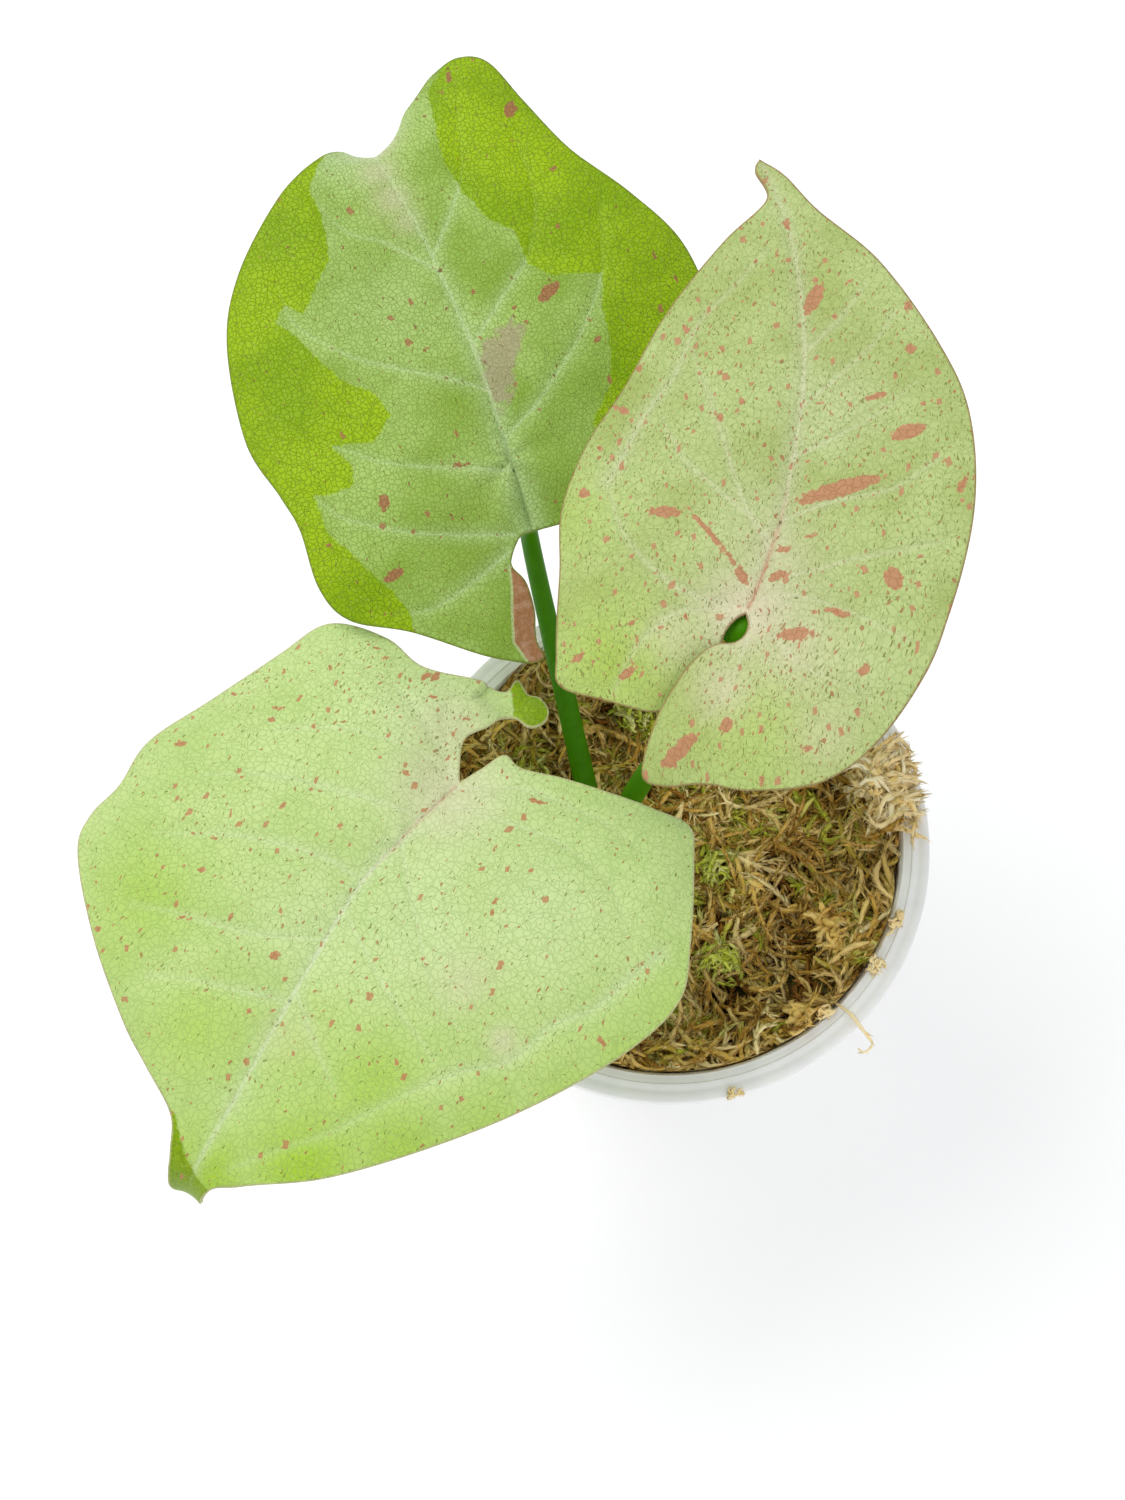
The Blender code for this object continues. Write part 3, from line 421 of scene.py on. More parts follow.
def smooth_line(points, spacing):
    """A smooth line through points, with a place about every spacing along it."""
    points = np.array(points, float)
    padded = np.vstack([2 * points[0] - points[1], points, 2 * points[-1] - points[-2]])
    fine = []
    for i in range(1, len(padded) - 2):
        before, start, end, after = padded[i - 1:i + 3]
        for share in np.linspace(0, 1, STEPS_BETWEEN_POINTS, endpoint=False):
            bend = (2 * before - 5 * start + 4 * end - after) * share ** 2
            twist = (3 * start - before - 3 * end + after) * share ** 3
            fine.append((2 * start + (end - before) * share + bend + twist) / 2)
    fine = np.array(fine + [points[-1]])
    length = np.concatenate([[0], np.cumsum(np.linalg.norm(np.diff(fine, axis=0), axis=1))])
    marks = np.linspace(0, length[-1], max(2, round(length[-1] / spacing) + 1))
    return np.column_stack([np.interp(marks, length, fine[:, k]) for k in range(points.shape[1])])


def leaf_outline(leaf, spacing):
    """The closed margin: tip, left side, notch, right side."""
    tip, notch = leaf["midrib"][0], leaf["midrib"][-1]
    left = smooth_line([tip] + leaf["left"] + [notch], spacing)
    right = smooth_line([tip] + leaf["right"] + [notch], spacing)
    return np.vstack([left, right[-2:0:-1]])


def line_distance(places, line, closed=False):
    """How far each place is from a line, and how far along the line its nearest point is, 0 to 1."""
    ends = np.roll(line, -1, axis=0) if closed else line[1:]
    starts = line if closed else line[:-1]
    best = np.full(len(places), np.inf)
    along = np.zeros(len(places))
    for i, (start, end) in enumerate(zip(starts, ends)):
        step = end - start
        share = np.clip(((places - start) @ step) / max(step @ step, 1e-9), 0, 1)
        gap = np.linalg.norm(places - start - share[:, None] * step, axis=1)
        nearer = gap < best
        best = np.where(nearer, gap, best)
        along = np.where(nearer, (i + share) / len(starts), along)
    return best, along


def inside(places, outline):
    """Which places lie within a closed outline, by counting crossings."""
    x, y = places[:, 0], places[:, 1]
    result = np.zeros(len(places), bool)
    for (x1, y1), (x2, y2) in zip(outline, np.roll(outline, -1, axis=0)):
        if y1 != y2:
            result ^= ((y1 > y) != (y2 > y)) & (x < (x2 - x1) * (y - y1) / (y2 - y1) + x1)
    return result


print("the back leaf's margin has", len(leaf_outline(LEAVES["back"], 1.0)), "places 1 mm apart")

# %% [markdown]
# A living blade is never flat. Its drawing is bent by adding up simple heights: a valley along
# the midrib, a drop towards the tip, the lobes and the sides, waves at the margin, and a tip
# that curls under on a small radius. Formulas are used here because the stalks can ask them
# where the blade is. The right leaf's one lobe swings over the other at the notch.

# %% The bent form


def leaf_axes(leaf):
    """The leaf's place in metres and its forward, left and up directions."""
    heading, pitch, roll = (math.radians(leaf[key]) for key in ("heading", "pitch", "roll"))
    forward = Vector((math.cos(heading), math.sin(heading), 0.0))
    level = Vector((-math.sin(heading), math.cos(heading), 0.0))
    ahead = forward * math.cos(pitch) + Vector((0, 0, math.sin(pitch)))
    left = level * math.cos(roll) + ahead.cross(level) * math.sin(roll)
    return Vector(leaf["junction"]) * MM, ahead, left, ahead.cross(left)


def midrib_offset(leaf, places):
    """How far each place is to the left of the midrib."""
    rib = np.array(sorted(leaf["midrib"]))
    return places[:, 1] - np.interp(places[:, 0], rib[:, 0], rib[:, 1])


def leaf_surface(leaf, places, edge):
    """Bends flat places of the blade into the leaf's form, on its own axes."""
    along, across = places[:, 0].copy(), places[:, 1].copy()
    off = midrib_offset(leaf, places)
    height = leaf["fold"] * (1 - np.exp(-np.abs(off) / FOLD_WIDTH))
    height -= leaf["arch"] * (np.maximum(along, 0) / ARCH_LENGTH) ** 2
    height -= leaf["lobe"] * (np.minimum(along, 0) / LOBE_LENGTH) ** 2
    height -= np.where(off > 0, leaf["left_drop"], leaf["right_drop"]) * (off / HALF_BLADE) ** 2
    turn = np.arctan2(off, along - WAVE_CENTRE)
    height += leaf["wave"] * np.exp(-edge / WAVE_WIDTH) * np.sin(leaf["waves"] * turn)
    height -= leaf["roll_depth"] * np.exp(-(edge / MARGIN_ROLL_WIDTH) ** 2)
    beyond = np.maximum(along - leaf["curl_start"], 0)
    tightness = np.exp(-(off / leaf["curl_width"]) ** 2) / leaf["curl_radius"] + 1e-9
    height -= (1 - np.cos(tightness * beyond)) / tightness
    along = np.where(beyond > 0, leaf["curl_start"] + np.sin(tightness * beyond) / tightness, along)
    slit = np.array(leaf["slit"])
    right_of_slit = across < np.interp(along, slit[:, 0], slit[:, 1])
    share = np.clip(-along / SWING_REACH, 0, 1) * right_of_slit
    share = share * share * (3 - 2 * share) * (leaf["swing"] != 0)
    swing = np.radians(leaf["swing"]) * share
    swung = along * np.cos(swing) - across * np.sin(swing)
    across = along * np.sin(swing) + across * np.cos(swing)
    height += leaf["lift"] * share
    on_ear = np.clip((-places[:, 0] - EAR_START) / 2.0, 0, 1) * (places[:, 1] > EAR_SIDE)
    height -= leaf["ear_drop"] * on_ear
    return np.column_stack([swung, across, height])


for leaf_name, leaf in LEAVES.items():
    bent_tip = leaf_surface(leaf, np.array([leaf["midrib"][0]], float), np.zeros(1))[0]
    print(leaf_name, "tip bends down by", round(-bent_tip[2], 1), "mm")

# %% [markdown]
# Now a drawing can be filled. A honeycomb lattice of close points covers the inside of the
# margin and a Delaunay triangulation joins them. The veins are constraints in it, so that a row
# of vertices lies exactly on each vein and its fine line and groove stay crisp.

# %% Filling a blade


def lattice_points(low, high, pitch):
    """A honeycomb of points over a rectangle."""
    row_height = pitch * math.sqrt(0.75)
    rows = int((high[1] - low[1]) / row_height) + 1
    columns = int((high[0] - low[0]) / pitch) + 1
    row, column = np.meshgrid(np.arange(rows), np.arange(columns), indexing="ij")
    across = low[0] + column * pitch + (row % 2) * pitch / 2
    return np.column_stack([across.ravel(), (low[1] + row * row_height).ravel()])


def leaf_mesh(leaf, veins, pitch):
    """Flat points and triangles of a blade, with rows of points along every vein."""
    outline = leaf_outline(leaf, pitch)
    lines = [smooth_line(vein, pitch) for vein in [leaf["midrib"]] + veins]
    lines[0] = lines[0][1:-1]
    lines = [line[inside(line, outline) & (line_distance(line, outline, True)[0] > pitch)]
             for line in lines]
    points = lattice_points(outline.min(axis=0), outline.max(axis=0), pitch)
    keep = inside(points, outline) & (line_distance(points, outline, True)[0] > pitch * 0.5)
    for line in lines:
        keep &= line_distance(points, line)[0] > pitch * 0.55
    flat = np.vstack([outline] + lines + [points[keep]])
    edges = [(i, (i + 1) % len(outline)) for i in range(len(outline))]
    first = len(outline)
    for line in lines:
        edges += [(first + i, first + i + 1) for i in range(len(line) - 1)]
        first += len(line)
    found = geometry.delaunay_2d_cdt([Vector(p) for p in flat], edges, [], 1, 1e-5)
    return np.array([tuple(p) for p in found[0]]), found[2], outline, lines


test_places, test_faces, _, _ = leaf_mesh(LEAVES["right"], VEINS["right"], 2.0)
print("a coarse test blade has", len(test_faces), "triangles")

# %% [markdown]
# Markings reach the shader as numbers on the vertices. A signed distance, positive inside the
# marking and in millimetres, is better than a painted mask: the shader can add noise to it
# before it cuts the edge, so the edge is torn finer than the mesh.

# %% Marking values
FAR_OUTSIDE = -30.0               # the depth where a leaf has no such marking


def polygon_depth(places, polygons):
    """How deep each place lies inside any of the polygons; negative outside."""
    depth = np.full(len(places), FAR_OUTSIDE)
    for polygon in polygons:
        corners = np.array(polygon, float)
        gap = line_distance(places, corners, True)[0]
        depth = np.maximum(depth, np.where(inside(places, corners), gap, -gap))
    return depth


def fleck_depth(places, flecks):
    """How deep each place lies inside any of the elliptical flecks; negative outside."""
    depth = np.full(len(places), FAR_OUTSIDE)
    for along, across, length, width, turn in flecks:
        angle = math.radians(turn)
        x, y = places[:, 0] - along, places[:, 1] - across
        u = (x * math.cos(angle) + y * math.sin(angle)) / length
        v = (y * math.cos(angle) - x * math.sin(angle)) / width
        depth = np.maximum(depth, (1 - np.hypot(u, v)) * width)
    return depth


def soft_tint(places, spots):
    """The strongest of several round tints that fade outwards."""
    tint = np.zeros(len(places))
    for along, across, reach, strength in spots:
        squared = ((places[:, 0] - along) ** 2 + (places[:, 1] - across) ** 2) / reach ** 2
        tint = np.maximum(tint, strength * np.exp(-squared))
    return tint


def store(mesh, name, values, kind="FLOAT"):
    """Writes numbers or vectors to a mesh's vertices."""
    attribute = mesh.attributes.new(name, kind, "POINT")
    key = "vector" if kind == "FLOAT_VECTOR" else "value"
    attribute.data.foreach_set(key, np.asarray(values, np.float32).ravel())


print("depth at a 2 x 1 mm fleck's middle:", fleck_depth(np.zeros((1, 2)), [(0, 0, 2, 1, 0)])[0], "mm")

# %% [markdown]
# A living leaf is a thin waxy skin over soft green flesh: it has a low, even sheen, and its
# colour comes from below the skin. Each leaf has its own set of tints, because the back one is
# older and greener, and its own sizes for the dark net between the smallest veins. The cells of
# that net are 0.75 to 1 mm wide in the plane of the leaf, as coarse as the picture can show.

# %% Leaf colours
NET_CELL = 1.0                    # width of the smallest vein cells seen from below
COARSE_CELL = 3.4                 # width of the cells between the next stronger veins
DASH_CELL = 0.95                  # spacing of the fine dark dashes
CONFETTI_CELL = 3.4               # spacing of the small pink flecks
MOTTLE = 14.0                     # size of the cloudy patches in the milky ground
# Each look's halo colour is a pale band beside the veins, partly the leaf's own paler skin and partly
# painted sheen.
LEAF_LOOKS = {
    "back": {
        "milk": "#A4C166", "shade": "#87A83C", "halo": "#BCD496", "line": "#C6DAA4",
        "net": "#76962C", "net_cell": 0.74, "fine_share": 0.95, "net_strength": 0.6,
        "dashes": 0.30, "confetti": 0.10, "side_strength": 0.42, "root": "#5F7F1E",
        "lime": "#97B806", "deep_lime": "#84A800", "margin": "#7F9030",
        # the back leaf's tint for its greener patches is painted shade
        "fleck": "#A06C48", "dark_fleck": "#865438", "sunny": "#84A238",
    },
    "right": {
        "milk": "#B6C782", "shade": "#A3B466", "halo": "#C8CDA4", "line": "#D6D6B2",
        "net": "#869E54", "net_cell": 1.05, "fine_share": 0.7, "net_strength": 0.44,
        "dashes": 0.66, "confetti": 0.85, "side_strength": 0.42, "root": "#BE8468",
        "lime": "#97B806", "deep_lime": "#84A800", "margin": "#A07C52",
        "fleck": "#BA8360", "dark_fleck": "#A46C4A", "sunny": "#A9C830",
    },
    "front": {
        "milk": "#C2D88E", "shade": "#B6D07E", "halo": "#CFDFAC", "line": "#DCE3C4",
        "net": "#94B460", "net_cell": 0.95, "fine_share": 0.75, "net_strength": 0.50,
        "dashes": 0.42, "confetti": 0.80, "side_strength": 0.18, "root": "#C2A884",
        "lime": "#8CAC00", "deep_lime": "#7A9A00", "margin": "#C9C394",
        "fleck": "#BA8058", "dark_fleck": "#A66C46", "sunny": "#A2C636",
    },
}
LIME_NET = "#688806"
LIME_BLOOM = "#AEC850"
BLUSH_TINT = "#D6CDAE"
WASH_TINT = "#A49878"
FLAP_TINT = "#A5744C"
FLAP_PALE = "#B98F70"
FLAP_LINE = "#C9CFA0"             # the pale fold beside the flap
DASH_TINT = "#73702E"
print("tints of each leaf:", {name: len(look) for name, look in LEAF_LOOKS.items()})

# %% [markdown]
# Four patterns make up the skin, each from a few nodes. Cloudy patches are noise cut by a soft
# step. A torn edge adds noise to a marking's signed distance before the same cut. The net is the
# borders of Voronoi cells, and scattered marks are one stretched spot in some of those cells.

# %% Leaf patterns
SOFT_STEP = {"interpolation_type": "SMOOTHSTEP"}


def patches(tree, flat, scale, low, high):
    """Cloudy patches; the scale is how many there are to a millimetre."""
    cloud = add(tree, "ShaderNodeTexNoise", None, {"Vector": flat, "Scale": scale, "Detail": 2.0})
    return add(tree, "ShaderNodeMapRange", SOFT_STEP,
               {"Value": cloud.outputs["Fac"], "From Min": low, "From Max": high})


def torn(tree, flat, depth, scale, amount, softness):
    """A marking whose edge is torn by noise, by up to the amount in millimetres."""
    tears = add(tree, "ShaderNodeTexNoise", None, {"Vector": flat, "Scale": scale, "Detail": 3.0})
    ragged = add(tree, "ShaderNodeMath", {"operation": "MULTIPLY_ADD"},
                 {0: tears.outputs["Fac"], 1: amount, 2: depth})
    return add(tree, "ShaderNodeMapRange", SOFT_STEP,
               {"Value": ragged, "From Min": amount / 2, "From Max": amount / 2 + softness})


def net_lines(tree, wobbled, cell, width):
    """The borders of irregular cells, as the smallest veins draw them."""
    cells = add(tree, "ShaderNodeTexVoronoi",
                {"voronoi_dimensions": "2D", "feature": "DISTANCE_TO_EDGE"},
                {"Vector": wobbled, "Scale": 1 / cell})
    return add(tree, "ShaderNodeMapRange", SOFT_STEP,
               {"Value": cells.outputs["Distance"], "From Min": width, "From Max": 0.0})


def scattered_marks(tree, wobbled, speckle, cell, squeeze, turn, amount, size):
    """Marks longer than wide, one in each chosen cell, thickest where the leaf is speckled."""
    share = add(tree, "ShaderNodeMath", {"operation": "MULTIPLY"}, {0: speckle, 1: amount})
    turned = add(tree, "ShaderNodeMapping", None,
                 {"Vector": wobbled, "Rotation": (0, 0, turn), "Scale": (1.0, squeeze, 1.0)})
    cells = add(tree, "ShaderNodeTexVoronoi", {"voronoi_dimensions": "2D", "distance": "MANHATTAN"},
                {"Vector": turned, "Scale": 1 / cell})
    chosen = add(tree, "ShaderNodeSeparateColor", None, {0: cells.outputs["Color"]})
    here = add(tree, "ShaderNodeMath", {"operation": "LESS_THAN"}, {0: chosen, 1: share})
    reach = add(tree, "ShaderNodeMath", {"operation": "MULTIPLY_ADD"},
                {0: chosen.outputs[1], 1: size, 2: size * 0.45})
    near = add(tree, "ShaderNodeMath", {"operation": "SUBTRACT"},
               {0: reach, 1: cells.outputs["Distance"]})
    mark = add(tree, "ShaderNodeMapRange", SOFT_STEP, {"Value": near, "From Min": 0.0, "From Max": 0.05})
    return add(tree, "ShaderNodeMath", {"operation": "MULTIPLY"}, {0: here, 1: mark})


print("four leaf patterns")

# %% [markdown]
# The skin is then painted as a layer cake. The milky ground is mottled first, with greener tints
# that are painted shade on the back leaf, then come lime sectors, veins with a pale halo that is
# partly the leaf's own paler skin and partly painted sheen, the net, fine dashes, salmon confetti
# and flecks, and at last the line of the margin. All patterns read the flat drawing's own
# millimetres, which the mesh carries as an attribute, so they follow the blade wherever it bends.

# %% Leaf material
MARKINGS = ("vein", "halo", "lime", "wash", "flap", "fleck", "edge", "sunny", "blush", "speckle",
            "midrib")
RIB_ROOT = (24.0, 4.0)            # the midrib's root colour fades in from one to the other
MARGIN_LINE = (0.34, 0.10)        # so does the margin's own line, at these depths from the edge
SKIN_RELIEF = 0.13                # height of the skin's fine grain and net
WOBBLE = (1.7, 1.7, 0.0)          # how far the net and the marks are pushed about, in millimetres


def leaf_skin(name, look):
    """A waxy variegated leaf skin: soft low gloss, colour broken by net, dashes and flecks."""
    material, tree, shader = new_material("leaf_skin_" + name, {
        "Roughness": 0.45, "Specular IOR Level": 0.16})
    value = {}
    for key in MARKINGS:
        value[key] = add(tree, "ShaderNodeAttribute", {"attribute_name": key}).outputs["Fac"]
    flat = add(tree, "ShaderNodeAttribute", {"attribute_name": "flat"}).outputs["Vector"]
    wobble = add(tree, "ShaderNodeTexNoise", None, {"Vector": flat, "Scale": 0.5, "Detail": 3.0})
    wobbled = add(tree, "ShaderNodeVectorMath", {"operation": "MULTIPLY_ADD"},
                  {0: wobble.outputs["Color"], 1: WOBBLE, 2: flat}).outputs[0]
    fine_net = net_lines(tree, wobbled, look["net_cell"], 0.12)
    coarse_net = net_lines(tree, wobbled, COARSE_CELL, 0.05)
    fine_part = add(tree, "ShaderNodeMath", {"operation": "MULTIPLY"}, {0: fine_net, 1: look["fine_share"]})
    coarse_part = add(tree, "ShaderNodeMath", {"operation": "MULTIPLY"}, {0: coarse_net, 1: 0.75})
    both_nets = add(tree, "ShaderNodeMath", {"operation": "MAXIMUM"}, {0: fine_part, 1: coarse_part})
    milky = paint(tree, colour(look["milk"]), [
        (patches(tree, flat, 1 / MOTTLE, 0.35, 0.7), colour(look["shade"])),
        # greener tints; on the back leaf this is painted shade
        (value["sunny"], colour(look["sunny"])),
        # pale halo by the veins and pale tints: partly the leaf's own paler skin, partly painted sheen
        (value["halo"], colour(look["halo"])),
        (both_nets, colour(look["net"]), look["net_strength"]),
        (patches(tree, flat, 2.2, 0.45, 0.75), colour(look["shade"]), 0.35),
    ])
    limy = paint(tree, colour(look["lime"]), [
        (patches(tree, flat, 0.06, 0.4, 0.62), colour(look["deep_lime"])),
        (both_nets, colour(LIME_NET), 0.75),
        (patches(tree, flat, 1.6, 0.5, 0.75), colour(LIME_BLOOM), 0.3),
    ])
    lime = torn(tree, flat, value["lime"], 0.7, 1.2, 0.45)
    clear = add(tree, "ShaderNodeMath", {"operation": "MULTIPLY_ADD"}, {0: lime, 1: -0.75, 2: 1.0})
    side_veins = add(tree, "ShaderNodeMath", {"operation": "MULTIPLY"}, {0: value["vein"], 1: clear})
    midrib = add(tree, "ShaderNodeMath", {"operation": "MULTIPLY"}, {0: value["midrib"], 1: clear})
    along = add(tree, "ShaderNodeSeparateXYZ", None, {0: flat}).outputs[0]
    near_stalk = add(tree, "ShaderNodeMapRange", SOFT_STEP,
                     {"Value": along, "From Min": RIB_ROOT[0], "From Max": RIB_ROOT[1]})
    rib_root = add(tree, "ShaderNodeMath", {"operation": "MULTIPLY"}, {0: value["midrib"], 1: near_stalk})
    speckle = value["speckle"]
    dashes = add(tree, "ShaderNodeMath", {"operation": "MAXIMUM"}, {
        0: scattered_marks(tree, wobbled, speckle, DASH_CELL, 3.4, 0.9, look["dashes"] * 0.8, 0.22),
        1: scattered_marks(tree, wobbled, speckle, DASH_CELL * 1.4, 3.0, -0.7, look["dashes"] * 0.6, 0.22)})
    confetti = [
        scattered_marks(tree, wobbled, speckle, CONFETTI_CELL * size, squeeze, turn,
                        look["confetti"] * 0.7, 0.17)
        for size, squeeze, turn in ((1.0, 1.5, 0.4), (0.55, 1.9, -0.5))]
    skin = paint(tree, milky, [
        (lime, limy),
        (torn(tree, flat, value["wash"], 0.55, 5.0, 1.6), colour(WASH_TINT), 0.8),
        (value["blush"], colour(BLUSH_TINT)),
        (side_veins, colour(look["line"]), look["side_strength"]),
        (midrib, colour(look["line"]), 0.75),
        (rib_root, colour(look["root"]), 0.8),
        (dashes, colour(DASH_TINT), 0.75),
        (confetti[0], colour(look["fleck"]), 0.85),
        (confetti[1], colour(look["dark_fleck"]), 0.8),
    ])
    salmon = paint(tree, colour(look["fleck"]), [(fine_net, colour(look["dark_fleck"]), 0.6)])
    flap = paint(tree, colour(FLAP_TINT), [(patches(tree, flat, 0.9, 0.4, 0.7), colour(FLAP_PALE))])
    flap_rim = add(tree, "ShaderNodeMapRange", SOFT_STEP,
                   {"Value": value["flap"], "From Min": -0.45, "From Max": -0.2})
    margin = add(tree, "ShaderNodeMapRange", SOFT_STEP,
                 {"Value": value["edge"], "From Min": MARGIN_LINE[0], "From Max": MARGIN_LINE[1]})
    skin = paint(tree, skin, [
        (torn(tree, flat, value["fleck"], 1.25, 1.15, 0.12), salmon, 0.92),
        (flap_rim, colour(FLAP_LINE), 0.6),
        (torn(tree, flat, value["flap"], 2.0, 0.3, 0.1), flap),
        (margin, colour(look["margin"]), 0.75),
    ])
    tree.links.new(skin, shader.inputs["Base Color"])
    grain = add(tree, "ShaderNodeTexNoise", None, {"Vector": flat, "Scale": 3.5, "Detail": 2.0})
    relief = add(tree, "ShaderNodeMath", {"operation": "MULTIPLY_ADD"},
                 {0: both_nets, 1: -0.6, 2: grain.outputs["Fac"]})
    bump = add(tree, "ShaderNodeBump", None,
               {"Strength": 0.8, "Distance": SKIN_RELIEF * MM, "Height": relief})
    tree.links.new(bump.outputs[0], shader.inputs["Normal"])
    return material


def leaf_underside():
    """The leaf's paler, duller lower skin, with the same fine net."""
    material, tree, shader = new_material("leaf_underside_skin", {
        "Roughness": 0.6, "Specular IOR Level": 0.3})
    flat = add(tree, "ShaderNodeAttribute", {"attribute_name": "flat"}).outputs["Vector"]
    vein = add(tree, "ShaderNodeAttribute", {"attribute_name": "vein"}).outputs["Fac"]
    lime = add(tree, "ShaderNodeAttribute", {"attribute_name": "lime"}).outputs["Fac"]
    cells = add(tree, "ShaderNodeTexVoronoi",
                {"voronoi_dimensions": "2D", "feature": "DISTANCE_TO_EDGE"},
                {"Vector": flat, "Scale": 1 / NET_CELL})
    lines = add(tree, "ShaderNodeMapRange", None,
                {"Value": cells.outputs["Distance"], "From Min": 0.14, "From Max": 0.0, "To Max": 0.35})
    cloud = add(tree, "ShaderNodeTexNoise", None, {"Vector": flat, "Scale": 0.08, "Detail": 3.0})
    in_lime = add(tree, "ShaderNodeMapRange", None, {"Value": lime})
    skin = paint(tree, colour("#A9C287"), [
        (cloud.outputs["Fac"], colour("#BACD9C")),
        (lines, colour("#8FAA6B")),
        (vein, colour("#C9D8AC")),
        (in_lime, colour("#87A632")),
    ])
    tree.links.new(skin, shader.inputs["Base Color"])
    return material


UNDERSIDE = leaf_underside()
print("leaf materials for", list(LEAF_LOOKS))

# %% [markdown]
# Now the blades. Relief goes into the mesh itself: the midrib lies in a fine groove, the side
# veins in shallower ones, and the skin between them is pushed up into low pillows. A vein's
# strength runs from its first drawn point, the tip's end for the midrib, to its last.

# %% Vein relief
# The halo numbers set a pale band beside each vein, partly the leaf's own paler skin and partly painted
# sheen.
MIDRIB = {"start": 0.35, "end": 1.0, "width": 0.36, "halo": 0.75, "halo_reach": 2.4, "groove": 0.45}
SIDE_VEIN = {"start": 1.0, "end": 0.3, "width": 0.24, "halo": 0.45, "halo_reach": 1.4, "groove": 0.32}
GROOVE_WIDTH = 0.6
PILLOW = 0.5
PILLOW_REACH = 3.2


def vein_relief(places, lines):
    """Strength of the midrib's line and of the side veins', their pale halo, which is partly painted sheen,
    and their height.
    """
    strength = np.zeros((2, len(places)))
    halo = np.zeros(len(places))
    height = np.zeros(len(places))
    nearest = np.full(len(places), np.inf)
    for i, line in enumerate(lines):
        rank, vein = (0, MIDRIB) if i == 0 else (1, SIDE_VEIN)
        gap, along = line_distance(places, line)
        taper = vein["start"] + (vein["end"] - vein["start"]) * along
        width = vein["width"] * (0.6 + 0.4 * taper)
        strength[rank] = np.maximum(strength[rank], taper * np.exp(-(gap / width) ** 2))
        reach = vein["halo_reach"] * taper + 0.3
        halo = np.maximum(halo, vein["halo"] * taper * np.exp(-(gap / reach) ** 2))
        height = np.minimum(height, -vein["groove"] * taper * np.exp(-(gap / GROOVE_WIDTH) ** 2))
        nearest = np.minimum(nearest, gap + 2.0 * (1 - taper))
    height += PILLOW * (1 - np.exp(-(nearest / PILLOW_REACH) ** 2))
    return strength, halo, height


middle = np.array([[30.0, 0.0]])
print("relief at the midrib:", vein_relief(middle, [np.array([[60.0, 0.0], [0.0, 0.0]])])[2], "mm")

# %% [markdown]
# Each blade is built in one go: mesh, bend, relief and markings. The relief fades out over the
# last millimetres, so that the margin keeps the line of the solid model. Solidify gives the
# blade its thickness of under half a millimetre, and turns the lower side's finish to the
# duller skin.

# %% Leaf blades
BLADE_THICKNESS = 0.45
BLADE_PITCH = 0.5
RELIEF_FADE = 3.0                 # how far in from the margin the relief has its full height
RIPPLE = 0.25
RIPPLE_SIZE = 6.0


def build_leaf(name):
    """One finished blade with its markings and relief."""
    leaf = LEAVES[name]
    places, faces, outline, lines = leaf_mesh(leaf, VEINS[name], BLADE_PITCH)
    edge = line_distance(places, outline, True)[0]
    strength, halo, height = vein_relief(places, lines)
    bent = leaf_surface(leaf, places, edge)
    fade = np.clip(edge / RELIEF_FADE, 0, 1)
    ripple = [noise.noise(Vector((s / RIPPLE_SIZE, t / RIPPLE_SIZE, len(name)))) for s, t in places]
    bent[:, 2] += (height + RIPPLE * np.array(ripple)) * fade
    origin, ahead, left, up = leaf_axes(leaf)
    axes = np.array([ahead, left, up])
    points = np.array(origin) + bent @ axes * MM
    blade = mesh_object("blade_" + name, points, faces, [leaf_skin(name, LEAF_LOOKS[name]), UNDERSIDE])
    shape = bmesh.new()
    shape.from_mesh(blade.data)
    bmesh.ops.recalc_face_normals(shape, faces=shape.faces)
    if sum(face.normal.dot(up) for face in shape.faces) < 0:
        bmesh.ops.reverse_faces(shape, faces=shape.faces)
    shape.to_mesh(blade.data)
    shape.free()
    mesh = blade.data
    store(mesh, "flat", np.column_stack([places, np.zeros(len(places))]), "FLOAT_VECTOR")
    store(mesh, "midrib", strength[0])
    store(mesh, "vein", strength[1])
    # pale halo and pale tints, partly painted sheen
    store(mesh, "halo", np.maximum(halo, soft_tint(places, PALE[name])))
    store(mesh, "lime", polygon_depth(places, LIME_AREAS[name]))
    store(mesh, "wash", polygon_depth(places, WASHES[name]))
    store(mesh, "flap", polygon_depth(places, FLAPS[name]))
    store(mesh, "fleck", fleck_depth(places, FLECKS[name]))
    store(mesh, "edge", edge)
    # greener tints, painted shade on the back leaf
    store(mesh, "sunny", soft_tint(places, GREEN_TINT_AND_SHADE[name]))
    store(mesh, "blush", soft_tint(places, BLUSH[name]))
    thin, thick_places = SPECKLE[name]
    store(mesh, "speckle", np.maximum(thin, soft_tint(places, thick_places)))
    thick = blade.modifiers.new("Thickness", "SOLIDIFY")
    thick.thickness = BLADE_THICKNESS * MM
    thick.offset = 0.0
    thick.material_offset = 1
    bake(blade)
    blade.data.shade_smooth()
    place(blade, "leaf_" + name)


for leaf_name in LEAVES:
    build_leaf(leaf_name)

# %% [markdown]
# Each stalk is a fleshy round bar, thickest where it leaves the moss. It stands beside the
# hidden stem, bows out to its leaf and meets the blade square from below. A curve with a round
# bevel would do, but rings placed by a loop let the last few millimetres flare into the blade.

# %% Leaf stalks
STEM_PLACE = Vector((-12.0, 1.0, 0.0)) * MM
STEM_RADIUS = 2.6 * MM
STALK_FOOT = 58.0 * MM
STALK_BASE_RADIUS = 2.0 * MM
STALK_TOP_RADIUS = 1.35 * MM
STALK_COLLAR = 8.0 * MM           # how far it rises straight from its foot
STALK_NECK = 2.0 * MM             # length of the part that stands square to the blade
STALK_RINGS = 72
STALK_SIDES = 24
SEAT_DEPTH = 0.8 * MM
GAP = 0.3 * MM


